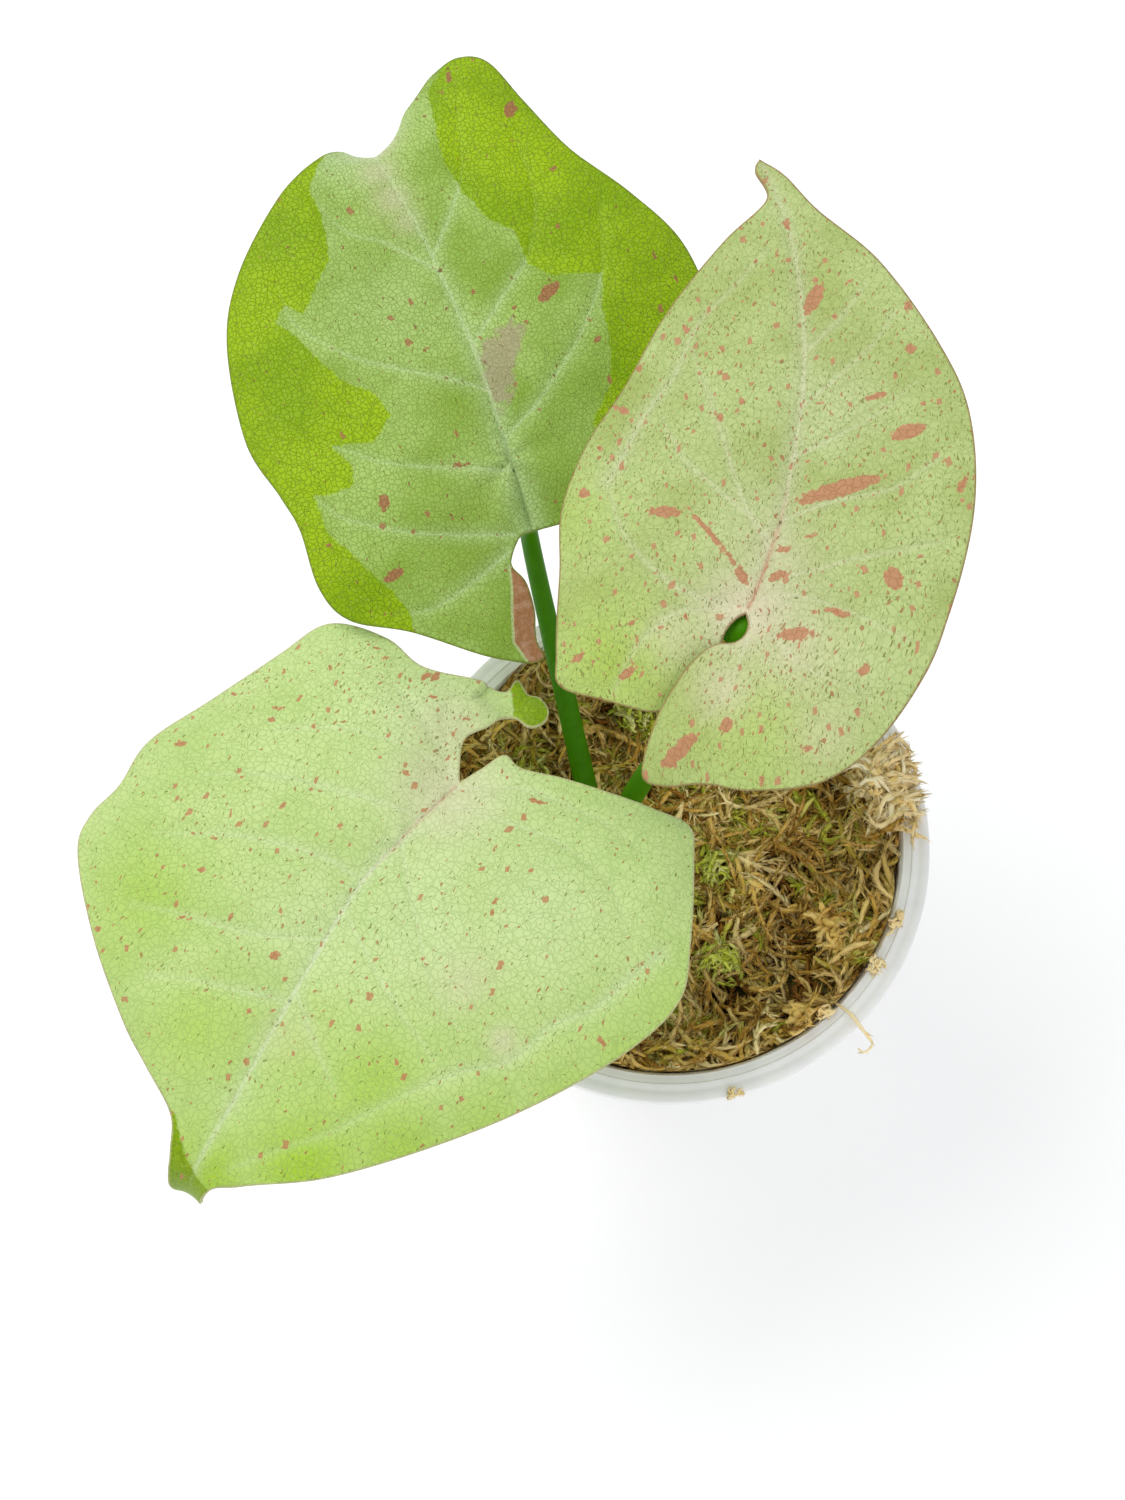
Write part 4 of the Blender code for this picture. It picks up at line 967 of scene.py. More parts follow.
def stalk_route(leaf):
    """The stalk's line: upright beside the stem, a bow, and a short neck square to the blade."""
    bearing = math.radians(leaf["stalk_bearing"])
    stand = STEM_RADIUS + GAP + STALK_BASE_RADIUS + 0.1 * MM
    foot = STEM_PLACE + Vector((math.cos(bearing) * stand, math.sin(bearing) * stand, STALK_FOOT))
    origin, ahead, left, up = leaf_axes(leaf)
    spot = np.array([leaf["seat"]])
    seat = leaf_surface(leaf, spot, line_distance(spot, leaf_outline(leaf, 3.0), True)[0])[0]
    blade = origin + (ahead * seat[0] + left * seat[1] + up * seat[2]) * MM
    top = blade - up * SEAT_DEPTH
    neck = top - up * STALK_NECK
    collar = foot + Vector((0, 0, STALK_COLLAR))
    rise = (neck - collar).length
    lift = collar + Vector((0, 0, rise * leaf["stalk_upright"]))
    ease = neck - up * rise * 0.15 - Vector((0, 0, rise * 0.15))
    points = [foot]
    for i in range(12):
        share = i / 11
        rest = 1 - share
        early = collar * rest ** 3 + lift * 3 * share * rest ** 2
        points.append(early + ease * 3 * share ** 2 * rest + neck * share ** 3)
    return points + [top]


print("the back stalk's route has", len(stalk_route(LEAVES["back"])), "points")

# %% [markdown]
# The same ring-by-ring bar serves for the moss further down, with four sides in place of 24.
# Each ring is turned square to the line by taking one fixed direction's part across it.

# %% Round bars


def ring_tube(line, radii, sides):
    """Points and faces of a closed round bar along a line."""
    points, faces = [], []
    across = Vector((0.3, 1.0, 0.1)).normalized()
    for i, (spot, radius) in enumerate(zip(line, radii)):
        before, after = line[max(i - 1, 0)], line[min(i + 1, len(line) - 1)]
        ahead = Vector(after - before).normalized()
        side = (across - ahead * across.dot(ahead)).normalized()
        other = ahead.cross(side)
        for k in range(sides):
            turn = 2 * math.pi * k / sides
            points.append(Vector(spot) + (side * math.cos(turn) + other * math.sin(turn)) * radius)
    for i in range(len(line) - 1):
        for k in range(sides):
            after = (k + 1) % sides
            low, high = i * sides, (i + 1) * sides
            faces.append((low + k, low + after, high + after, high + k))
    faces.append(tuple(reversed(range(sides))))
    faces.append(tuple(range((len(line) - 1) * sides, len(line) * sides)))
    return points, faces


test_points, test_rings = ring_tube([Vector((0, 0, 0)), Vector((0, 0, 1))], [1.0, 1.0], 6)
print("a six-sided bar has", len(test_points), "points and", len(test_rings), "faces")

# %% [markdown]
# The stalks' skin is the same living green all over, a little paler high up and yellower where
# it comes out of the moss. Its streaks are noise squeezed to about a millimetre across and drawn
# out along the stalk, which is coarser than the real fibres, so that they show.

# %% Leaf stalk finish
STREAKS_ACROSS = 0.9 / MM
STREAKS_ALONG = 0.06 / MM
STALK_FLARE = {"back": 0.35, "right": 1.1, "front": 0.35}   # how much the top spreads


def stalk_skin():
    """Smooth fleshy stalk skin: deep green under a thin wax, faintly streaked along its length."""
    material, tree, shader = new_material("leaf_stalk_skin", {
        "Roughness": 0.48, "Specular IOR Level": 0.1})
    spot = add(tree, "ShaderNodeTexCoord").outputs["Object"]
    streaks = add(tree, "ShaderNodeMapping", None,
                  {"Vector": spot, "Scale": (STREAKS_ACROSS, STREAKS_ACROSS, STREAKS_ALONG)})
    fine = add(tree, "ShaderNodeTexNoise", None, {"Vector": streaks, "Scale": 1.0, "Detail": 3.0})
    height = add(tree, "ShaderNodeSeparateXYZ", None, {0: spot})
    low = add(tree, "ShaderNodeMapRange", None,
              {"Value": height.outputs[2], "From Min": 75.0 * MM, "From Max": 62.0 * MM})
    top = add(tree, "ShaderNodeMapRange", None,
              {"Value": height.outputs[2], "From Min": 105.0 * MM, "From Max": 140.0 * MM, "To Max": 0.5})
    skin = paint(tree, colour("#488600"), [
        (fine.outputs["Fac"], colour("#376E00")),
        (top, colour("#4C9000")),
        (low, colour("#7C9A28")),
    ])
    tree.links.new(skin, shader.inputs["Base Color"])
    bump = add(tree, "ShaderNodeBump", None,
               {"Strength": 0.25, "Distance": 0.05 * MM, "Height": fine.outputs["Fac"]})
    tree.links.new(bump.outputs[0], shader.inputs["Normal"])
    return material


STALK_SKIN = stalk_skin()
for leaf_name, leaf in LEAVES.items():
    route = smooth_line([tuple(p) for p in stalk_route(leaf)], 0.01 * MM)
    share = np.linspace(0, 1, STALK_RINGS)
    pick = np.round(share * (len(route) - 1)).astype(int)
    radii = STALK_BASE_RADIUS + (STALK_TOP_RADIUS - STALK_BASE_RADIUS) * share
    flare = STALK_FLARE[leaf_name] * np.exp(-((1 - share) / 0.03) ** 2)
    radii = radii * (1 + flare + 0.12 * np.exp(-(share / 0.1) ** 2))
    tube_points, tube_faces = ring_tube([Vector(route[i]) for i in pick], radii, STALK_SIDES)
    stalk = mesh_object("stalk_" + leaf_name, tube_points, tube_faces, [STALK_SKIN])
    place(stalk, "petiole_" + leaf_name)

# %% [markdown]
# The short stem is mostly hidden by the front leaf, and its solid already has the right swollen
# joints, so it stays and only gets a finish: green-brown skin with pale rings.

# %% Stem finish


def stem_skin():
    """Corky green stem skin, dull, browner at its joints."""
    material, tree, shader = new_material("stem_cork_skin", {"Roughness": 0.62})
    spot = add(tree, "ShaderNodeTexCoord").outputs["Object"]
    fine = add(tree, "ShaderNodeTexNoise", None, {"Vector": spot, "Scale": 0.7 / MM, "Detail": 4.0})
    rings = add(tree, "ShaderNodeTexWave", {"bands_direction": "Z"},
                {"Vector": spot, "Scale": 0.06 / MM, "Distortion": 3.0})
    skin = paint(tree, colour("#5E7A2A"), [
        (fine.outputs["Fac"], colour("#4A5E1E")),
        (rings.outputs["Fac"], colour("#7C7040")),
    ])
    tree.links.new(skin, shader.inputs["Base Color"])
    bump = add(tree, "ShaderNodeBump", None,
               {"Strength": 0.4, "Distance": 0.1 * MM, "Height": fine.outputs["Fac"]})
    tree.links.new(bump.outputs[0], shader.inputs["Normal"])
    return material


frame["nodes"]["stem"].data.materials.clear()
frame["nodes"]["stem"].data.materials.append(stem_skin())
print("stem finished")

# %% [markdown]
# The cup is thin milky polypropylene. It is drawn as a profile, from the middle of its floor up
# the inside and down the outside, and a Screw modifier turns that about the pot's axis. The
# flange is stepped, as on cups that have to stack and to hold a cover.

# %% Nursery cup profile
POT_HEIGHT = 75.0 * MM
POT_BASE_RADIUS = 30.0 * MM
POT_MOUTH_RADIUS = 38.2 * MM
POT_WALL = 1.0 * MM
POT_FLOOR = 1.2 * MM
RIM_RADIUS = 43.0 * MM
RIM_LIP = 2.6 * MM
FLANGE_STEPS = 5
WALL_STEPS = 8


def wall_radius(height):
    """The pot's inner radius at a height."""
    inner_base = POT_BASE_RADIUS - POT_WALL
    return inner_base + (POT_MOUTH_RADIUS - inner_base) * height / POT_HEIGHT


def pot_profile():
    """Radius and height from the middle of the floor up the inner wall, over the rim and down."""
    shoulder = POT_HEIGHT - 4.0 * MM
    mouth = wall_radius(shoulder)
    flange = RIM_RADIUS - POT_MOUTH_RADIUS
    profile = [(0.0, POT_FLOOR), (wall_radius(POT_FLOOR) - 1.2 * MM, POT_FLOOR),
               (wall_radius(2.0 * MM) - 0.3 * MM, POT_FLOOR + 0.4 * MM),
               (wall_radius(2.4 * MM), POT_FLOOR + 1.2 * MM)]
    for i in range(1, WALL_STEPS):
        height = 2.4 * MM + (shoulder - 2.4 * MM) * i / WALL_STEPS
        profile.append((wall_radius(height), height))
    profile += [(mouth, shoulder), (mouth + 0.5 * MM, shoulder + 0.5 * MM),
                (POT_MOUTH_RADIUS - 0.1 * MM, POT_HEIGHT - 1.6 * MM),
                (POT_MOUTH_RADIUS + 0.1 * MM, POT_HEIGHT - 0.8 * MM)]
    for i in range(FLANGE_STEPS):
        start = POT_MOUTH_RADIUS + flange * (0.10 + 0.74 * i / FLANGE_STEPS)
        level = POT_HEIGHT - 0.35 * MM + 0.35 * MM * min(i, 2) / 2
        rise = 0.10 * MM if i % 2 else 0.0
        profile += [(start, level - rise), (start + flange * 0.11, level - rise)]
    profile += [(RIM_RADIUS - 0.5 * MM, POT_HEIGHT - 0.05 * MM),
                (RIM_RADIUS - 0.15 * MM, POT_HEIGHT - 0.25 * MM),
                (RIM_RADIUS, POT_HEIGHT - 0.6 * MM),
                (RIM_RADIUS, POT_HEIGHT - RIM_LIP + 0.1 * MM),
                (RIM_RADIUS - 0.15 * MM, POT_HEIGHT - RIM_LIP),
                (RIM_RADIUS - 0.8 * MM, POT_HEIGHT - RIM_LIP),
                (RIM_RADIUS - POT_WALL, POT_HEIGHT - RIM_LIP + 0.2 * MM),
                (RIM_RADIUS - POT_WALL - 0.2 * MM, POT_HEIGHT - 1.2 * MM),
                (POT_MOUTH_RADIUS + POT_WALL + 0.3 * MM, POT_HEIGHT - 1.5 * MM),
                (POT_MOUTH_RADIUS + POT_WALL, POT_HEIGHT - 2.0 * MM),
                (mouth + POT_WALL + 0.3 * MM, shoulder), (mouth + POT_WALL, shoulder - 0.5 * MM)]
    for i in range(1, WALL_STEPS):
        height = shoulder + (1.2 * MM - shoulder) * i / WALL_STEPS
        profile.append((wall_radius(height) + POT_WALL, height))
    profile += [(POT_BASE_RADIUS + 0.1 * MM, 1.0 * MM), (POT_BASE_RADIUS - 0.2 * MM, 0.3 * MM),
                (POT_BASE_RADIUS - 0.8 * MM, 0.0), (0.0, 0.0)]
    return profile


print("the cup's profile has", len(pot_profile()), "points")

# %% [markdown]
# Moulded polypropylene is milky because its crystals scatter light, so a little light comes
# through the wall. It has a soft gloss, faint streaks that the flow in the mould left down the
# wall, and here and there some dust from the moss.

# %% Nursery cup finish


def cup_plastic():
    """Milky polypropylene, injection moulded: soft gloss, a little light shows through the wall."""
    material, tree, shader = new_material("milky_polypropylene_moulded", {
        "Roughness": 0.32, "IOR": 1.49, "Transmission Weight": 0.12, "Specular IOR Level": 0.45})
    spot = add(tree, "ShaderNodeTexCoord").outputs["Object"]
    parts = add(tree, "ShaderNodeSeparateXYZ", None, {0: spot})
    angle = add(tree, "ShaderNodeMath", {"operation": "ARCTAN2"},
                {0: parts.outputs[1], 1: parts.outputs[0]})
    bands_at = add(tree, "ShaderNodeCombineXYZ", None, {0: angle, 1: 0.0, 2: 0.0})
    bands = add(tree, "ShaderNodeTexNoise", None, {"Vector": bands_at, "Scale": 9.0, "Detail": 4.0})
    cloud = add(tree, "ShaderNodeTexNoise", None, {"Vector": spot, "Scale": 0.045 / MM, "Detail": 3.0})
    dirt = add(tree, "ShaderNodeMapRange", SOFT_STEP,
               {"Value": cloud.outputs["Fac"], "From Min": 0.55, "From Max": 0.8, "To Max": 0.35})
    band_mask = add(tree, "ShaderNodeMapRange", None,
                    {"Value": bands.outputs["Fac"], "From Min": 0.4, "From Max": 0.7, "To Max": 0.5})
    skin = paint(tree, colour("#FBFBF8"), [(band_mask, colour("#EFEEF0")), (dirt, colour("#EFE9DA"))])
    tree.links.new(skin, shader.inputs["Base Color"])
    bump = add(tree, "ShaderNodeBump", None,
               {"Strength": 0.15, "Distance": 0.1 * MM, "Height": bands.outputs["Fac"]})
    tree.links.new(bump.outputs[0], shader.inputs["Normal"])
    return material


CUP_PLASTIC = cup_plastic()
print("cup finish", CUP_PLASTIC.name)

# %% [markdown]
# Turning the profile gives the cup. Many steps round keep its rim smooth in a close view. Its
# drain holes are cut by one Boolean with all the cutters in a collection, and the sharp angle
# keeps the flange's little steps crisp while the wall stays smooth.

# %% Nursery cup
POT_TURN_STEPS = 168
DRAIN_HOLES = 6
DRAIN_RADIUS = 2.5 * MM
DRAIN_CIRCLE = 17.0 * MM
DRAIN_CUT = 8.0 * MM
SHARP_ANGLE = math.radians(32)


def build_pot():
    """The cup, turned from its profile, with its drain holes cut."""
    profile = pot_profile()
    mesh = bpy.data.meshes.new("nursery_cup")
    edges = [(i, i + 1) for i in range(len(profile) - 1)]
    mesh.from_pydata([(r, 0.0, z) for r, z in profile], edges, [])
    pot = bpy.data.objects.new("nursery_cup", mesh)
    bpy.context.scene.collection.objects.link(pot)
    screw = pot.modifiers.new("Turn", "SCREW")
    screw.steps = POT_TURN_STEPS
    screw.render_steps = POT_TURN_STEPS
    screw.use_merge_vertices = True
    screw.merge_threshold = 0.01 * MM
    bake(pot)
    cutters = bpy.data.collections.new("drain_cutters")
    for i in range(DRAIN_HOLES):
        turn = 2 * math.pi * i / DRAIN_HOLES
        middle = (DRAIN_CIRCLE * math.cos(turn), DRAIN_CIRCLE * math.sin(turn), 0)
        bpy.ops.mesh.primitive_cylinder_add(vertices=32, radius=DRAIN_RADIUS, depth=DRAIN_CUT,
                                            location=middle)
        cutter = bpy.context.object
        bpy.context.collection.objects.unlink(cutter)
        cutters.objects.link(cutter)
    cut = pot.modifiers.new("Drains", "BOOLEAN")
    cut.operation = "DIFFERENCE"
    cut.operand_type = "COLLECTION"
    cut.collection = cutters
    cut.solver = "MANIFOLD"
    bake(pot)
    for cutter in list(cutters.objects):
        bpy.data.objects.remove(cutter)
    bpy.data.collections.remove(cutters)
    pot.data.materials.clear()
    pot.data.materials.append(CUP_PLASTIC)
    pot.data.shade_smooth()
    pot.data.set_sharp_from_angle(angle=SHARP_ANGLE)
    place(pot, "pot")


build_pot()

# %% [markdown]
# Dried sphagnum is a tangle of straw-coloured strands with dark hollows between, wet and in shade.
# Under the strands lies one lumpy bed, a little lower than the solid model's, which fills the cup
# and is painted nearly black where it shows, as painted shade for the gaps between strands. Its
# height at any place is one formula, because the strands, the tufts and the loose bits all ask it
# where the moss is.

# %% Moss bed surface
MOSS_LEVEL = 67.0 * MM
MOSS_LUMP = 1.8 * MM
MOSS_LUMP_SIZE = 11.0 * MM
HOLLOW_DEPTH = 1.6 * MM
EDGE_RISE = 6.6 * MM              # how far the moss climbs where it is packed against the wall
EDGE_FROM = 25.0 * MM
EDGE_TO = 36.5 * MM


def moss_height(x, y):
    """How high the moss stands at a place: the solid model's lumps, packed up against the wall."""
    spot = Vector((x / MOSS_LUMP_SIZE, y / MOSS_LUMP_SIZE, 3.7))
    lumps = noise.noise(spot) + 0.5 * noise.noise(spot * 2.3)
    share = min(max((math.hypot(x, y) - EDGE_FROM) / (EDGE_TO - EDGE_FROM), 0.0), 1.0)
    return MOSS_LEVEL + MOSS_LUMP * lumps + EDGE_RISE * share * share * (3 - 2 * share)


print("moss in the middle:", round(moss_height(0.0, 0.0) / MM, 1), "mm high")

# %% [markdown]
# The bed itself is rings of points about the pot's axis, closed below by two narrower rings and
# a flat face. Its finish is wet peat's dull brown and olive patches over a nearly black ground,
# which is painted shade for the gaps between strands, and a coarse bump in place of the finest
# fibres.

# %% Moss bed
BED_RINGS = 48
BED_SIDES = 96
BED_ROUGHNESS = 0.9 * MM          # height of the small bumps in its surface
BED_BUMPS = 0.38 / MM             # and how many there are to a metre


def moss_ground_and_gap_shade():
    """Wet brown moss deep in the bed: dull brown and olive lumps over a nearly black ground of painted
    shade.
    """
    material, tree, shader = new_material("wet_sphagnum_ground", {"Roughness": 0.85})
    spot = add(tree, "ShaderNodeTexCoord").outputs["Object"]
    fine = add(tree, "ShaderNodeTexNoise", None, {"Vector": spot, "Scale": 0.9 / MM, "Detail": 4.0})
    broad = add(tree, "ShaderNodeTexNoise", None, {"Vector": spot, "Scale": 0.12 / MM, "Detail": 3.0})
    olive = add(tree, "ShaderNodeMapRange", SOFT_STEP,
                {"Value": broad.outputs["Fac"], "From Min": 0.48, "From Max": 0.66, "To Max": 0.7})
    # the nearly black ground is painted shade for the gaps between the strands, under the brown
    skin = paint(tree, colour("#20160A"), [
        (fine.outputs["Fac"], colour("#6B5324")),
        (olive, colour("#5A6116")),
    ])
    tree.links.new(skin, shader.inputs["Base Color"])
    bump = add(tree, "ShaderNodeBump", None,
               {"Strength": 0.8, "Distance": 0.5 * MM, "Height": fine.outputs["Fac"]})
    tree.links.new(bump.outputs[0], shader.inputs["Normal"])
    return material


def build_moss_bed():
    """The bed: a fine lumpy top with hollows, closed by the cup-shaped body under it."""
    reach = wall_radius(MOSS_LEVEL) - 0.4 * MM
    turns = [2 * math.pi * k / BED_SIDES for k in range(BED_SIDES)]
    points, faces = [(0.0, 0.0, moss_height(0, 0) - HOLLOW_DEPTH)], []
    for radius in (reach * i / BED_RINGS for i in range(1, BED_RINGS + 1)):
        for turn in turns:
            x, y = radius * math.cos(turn), radius * math.sin(turn)
            fine = noise.noise(Vector((x, y, 0.01)) * BED_BUMPS) * BED_ROUGHNESS
            points.append((x, y, moss_height(x, y) - HOLLOW_DEPTH + fine))
    foot = [(wall_radius(3.0 * MM) - 0.6 * MM, 3.0 * MM),
            (wall_radius(1.6 * MM) - 1.8 * MM, POT_FLOOR + GAP)]
    for radius, height in foot:
        points += [(radius * math.cos(turn), radius * math.sin(turn), height) for turn in turns]
    for k in range(BED_SIDES):
        faces.append((0, 1 + k, 1 + (k + 1) % BED_SIDES))
    bands = BED_RINGS + len(foot) - 1
    for ring in range(bands):
        start = 1 + ring * BED_SIDES
        for k in range(BED_SIDES):
            a, b = start + k, start + (k + 1) % BED_SIDES
            faces.append((a, a + BED_SIDES, b + BED_SIDES, b))
    faces.append(tuple(1 + bands * BED_SIDES + k for k in reversed(range(BED_SIDES))))
    bed = mesh_object("moss_bed_ground", points, faces, [moss_ground_and_gap_shade()])
    shape = bmesh.new()
    shape.from_mesh(bed.data)
    bmesh.ops.recalc_face_normals(shape, faces=shape.faces)
    shape.to_mesh(bed.data)
    shape.free()
    place(bed, "moss_bed")


build_moss_bed()

# %% [markdown]
# A sphagnum strand is a limp stem wrapped in tiny pointed leaves. A few dozen different strands
# are modelled, in three kinds: dry, bold and live. Each one has a four-sided stem, which swells
# and thins along its length, and flat leaves of four faces, which is coarser than real moss.
# That keeps a shape that is strewn thousands of times down to a few hundred triangles.

# %% Strand shapes
STRAND_SIDES = 4


class Pile:
    """Collects points and faces of many small closed shapes into one mesh."""

    def __init__(self):
        self.points, self.faces = [], []

    def put(self, points, faces):
        first = len(self.points)
        self.points += [tuple(p) for p in points]
        self.faces += [tuple(first + i for i in face) for face in faces]


def scale_leaf(pile, base, ahead, side, length, width):
    """A tiny pointed leaf with a ridge, closed all round: a flat tetrahedron."""
    up = ahead.cross(side).normalized() * width * 0.3
    a, b = base - side * width / 2, base + side * width / 2
    c, d = base + up + ahead * length * 0.3, base + ahead * length
    solid = [(0, 2, 1), (0, 1, 3), (1, 2, 3), (2, 0, 3)]
    if (b - a).cross(c - a).dot(d - a) > 0:
        solid = [tuple(reversed(face)) for face in solid]
    pile.put((a, b, c, d), [tuple(reversed(face)) for face in solid])


def strand(pile, line, radius, leaves, leaf_length, rng, spread=0.5, plump=0.4):
    """A bent stem along a line, wrapped in small scale leaves that point forward."""
    count = len(line)
    swell = [math.sin(math.pi * (0.15 + 0.75 * i / (count - 1))) for i in range(count)]
    radii = [radius * (0.3 + 0.7 * share) * rng.uniform(0.75, 1.2) for share in swell]
    pile.put(*ring_tube(line, radii, STRAND_SIDES))
    for i in range(leaves):
        share = (i + rng.random()) / leaves * (count - 1.01)
        k = int(share)
        base = line[k].lerp(line[k + 1], share - k)
        ahead = (line[k + 1] - line[k]).normalized()
        out = Vector((rng.gauss(0, 1), rng.gauss(0, 1), rng.gauss(0, 1)))
        out = (out - ahead * out.dot(ahead)).normalized()
        way = (ahead + out * spread * rng.uniform(0.3, 1.7)).normalized()
        side = way.cross(out).normalized()
        size = leaf_length * rng.uniform(0.6, 1.25)
        scale_leaf(pile, base, way, side, size, size * plump)


def curly_line(rng, length, count, curl):
    """A wandering line, centred on the origin and laid along X, as limp dried moss lies."""
    heading, tilt, swing = 0.0, 0.0, rng.uniform(-curl, curl)
    spot = Vector((0, 0, 0))
    line = [spot.copy()]
    for i in range(count - 1):
        swing += rng.uniform(-curl, curl)
        heading += swing
        tilt = tilt * 0.6 + rng.uniform(-0.22, 0.22)
        spot += Vector((math.cos(heading), math.sin(heading), math.sin(tilt))) * length / (count - 1)
        line.append(spot.copy())
    middle = sum(line, Vector((0, 0, 0))) / count
    run = line[-1] - line[0]
    turn = Matrix.Rotation(-math.atan2(run.y, run.x), 3, "Z")
    return [turn @ (point - middle) for point in line]


def flat_strand_shape(hidden, name, seed, length, radius, leaves, leaf_length, curl, spread, plump):
    """A limp strand lying along X, as a shape for strewing, kept in a collection out of sight."""
    rng = random.Random(seed)
    pile = Pile()
    strand(pile, curly_line(rng, length, 10, curl), radius, leaves, leaf_length, rng, spread, plump)
    shape = mesh_object(name, pile.points, pile.faces)
    bpy.context.scene.collection.objects.unlink(shape)
    hidden.objects.link(shape)


DRY_SHAPES = bpy.data.collections.new("dry_strand_shapes")
BOLD_SHAPES = bpy.data.collections.new("bold_strand_shapes")
LIVE_SHAPES = bpy.data.collections.new("live_strand_shapes")
for i in range(14):
    flat_strand_shape(DRY_SHAPES, "dry_shape_%d" % i, 40 + i, (9.0 + 0.9 * i) * MM, 0.34 * MM, 32,
                      2.5 * MM, 0.16 + 0.012 * i, 0.42, 0.3)
for i in range(10):
    flat_strand_shape(BOLD_SHAPES, "bold_shape_%d" % i, 120 + i, (12.0 + 1.3 * i) * MM, 0.5 * MM, 44,
                      2.8 * MM, 0.14 + 0.02 * i, 0.4, 0.36)
for i in range(6):
    flat_strand_shape(LIVE_SHAPES, "live_shape_%d" % i, 70 + i, (5.0 + 0.7 * i) * MM, 0.45 * MM, 26,
                      2.3 * MM, 0.25, 0.4, 0.3)

# %% [markdown]
# Dried moss is dull and every strand has a shade of its own. So the mesh carries one random
# number for each strand, called tint, and a colour ramp turns that into a shade. Noise adds the
# bleached places, brown stains come in broad patches, and the moss darkens as it goes down.

# %% Moss fibres
FIBRE_GRAIN = 1.1 / MM            # bleached places to a metre, coarser than real so that they show
STAIN_PATCHES = 0.095 / MM
DARK_FROM = 67.5 * MM             # the height where the moss begins to darken
DARK_BY = 64.5 * MM
STAIN_TINT = "#80501A"
DEEP_TINT = "#3A2A10"


def moss_fibre(name, shades, roughness, stain=0.0):
    """Dried or live sphagnum: dull, each strand its own shade, stained brown, darker low down."""
    material, tree, shader = new_material(name, {"Roughness": roughness, "Specular IOR Level": 0.25})
    spot = add(tree, "ShaderNodeTexCoord").outputs["Object"]
    tint = add(tree, "ShaderNodeAttribute", {"attribute_name": "tint"}).outputs["Fac"]
    ramp = add(tree, "ShaderNodeValToRGB", None, {0: tint})
    elements = ramp.color_ramp.elements
    for i, code in enumerate(shades):
        element = elements[i] if i < 2 else elements.new(1.0)
        element.position = i / (len(shades) - 1)
        element.color = colour(code)
    fine = add(tree, "ShaderNodeTexNoise", None, {"Vector": spot, "Scale": FIBRE_GRAIN, "Detail": 3.0})
    pale = add(tree, "ShaderNodeMapRange", SOFT_STEP,
               {"Value": fine.outputs["Fac"], "From Min": 0.45, "From Max": 0.75, "To Max": 0.5})
    height = add(tree, "ShaderNodeSeparateXYZ", None, {0: spot})
    deep = add(tree, "ShaderNodeMapRange", None,
               {"Value": height.outputs[2], "From Min": DARK_FROM, "From Max": DARK_BY, "To Max": 0.5})
    broad = add(tree, "ShaderNodeTexNoise", None, {"Vector": spot, "Scale": STAIN_PATCHES, "Detail": 2.0})
    stained = add(tree, "ShaderNodeMapRange", SOFT_STEP,
                  {"Value": broad.outputs["Fac"], "From Min": 0.46, "From Max": 0.64, "To Max": stain})
    skin = paint(tree, ramp.outputs[0], [
        (pale, colour(shades[-1])),
        (stained, colour(STAIN_TINT)),
        (deep, colour(DEEP_TINT)),
    ])
    tree.links.new(skin, shader.inputs["Base Color"])
    return material


WET_FIBRE = moss_fibre("wet_sphagnum_fibre",
                       ("#6C420C", "#8E5E16", "#985C22", "#866E18", "#AA7C2A", "#B89232"), 0.6, 0.5)
DRY_FIBRE = moss_fibre("dried_sphagnum_fibre",
                       ("#AE822A", "#D0A446", "#E4BC5E", "#BCA636", "#F2D284", "#F8E6A8"), 0.85, 0.35)
GOLD_FIBRE = moss_fibre("golden_sphagnum_fibre", ("#C49440", "#D8AE54", "#E6C46C", "#F0D898"), 0.8)
LIVE_FIBRE = moss_fibre("live_sphagnum_fibre", ("#98A020", "#B8BC30", "#D0CC4C", "#E8E088"), 0.75, 0.3)
FRESH_FIBRE = moss_fibre("fresh_sphagnum_fibre", ("#AEBA2C", "#C8D040", "#DEE064", "#F2EEA6"), 0.75)
PALE_FIBRE = moss_fibre("pale_sphagnum_fibre", ("#F4D284", "#FADE9C", "#FFEAB4", "#FFF4D0"), 0.85)
print("six moss fibres")

# %% [markdown]
# Geometry Nodes strew the strand shapes over a surface, turned and sized at random from a fixed
# seed, which is far lighter than modelling every strand. The tree has named inputs for how many
# pieces there are to a square metre, their smallest and largest size, how far they lean from
# lying flat, the seed, and how much of the surface is chosen, in patches. It writes each piece's
# tint before Realize Instances, and ends by setting the material.

# %% Strewing tree
STREW_INPUTS = ("Pieces per square metre", "Smallest", "Largest", "Lean", "Seed", "Share chosen")


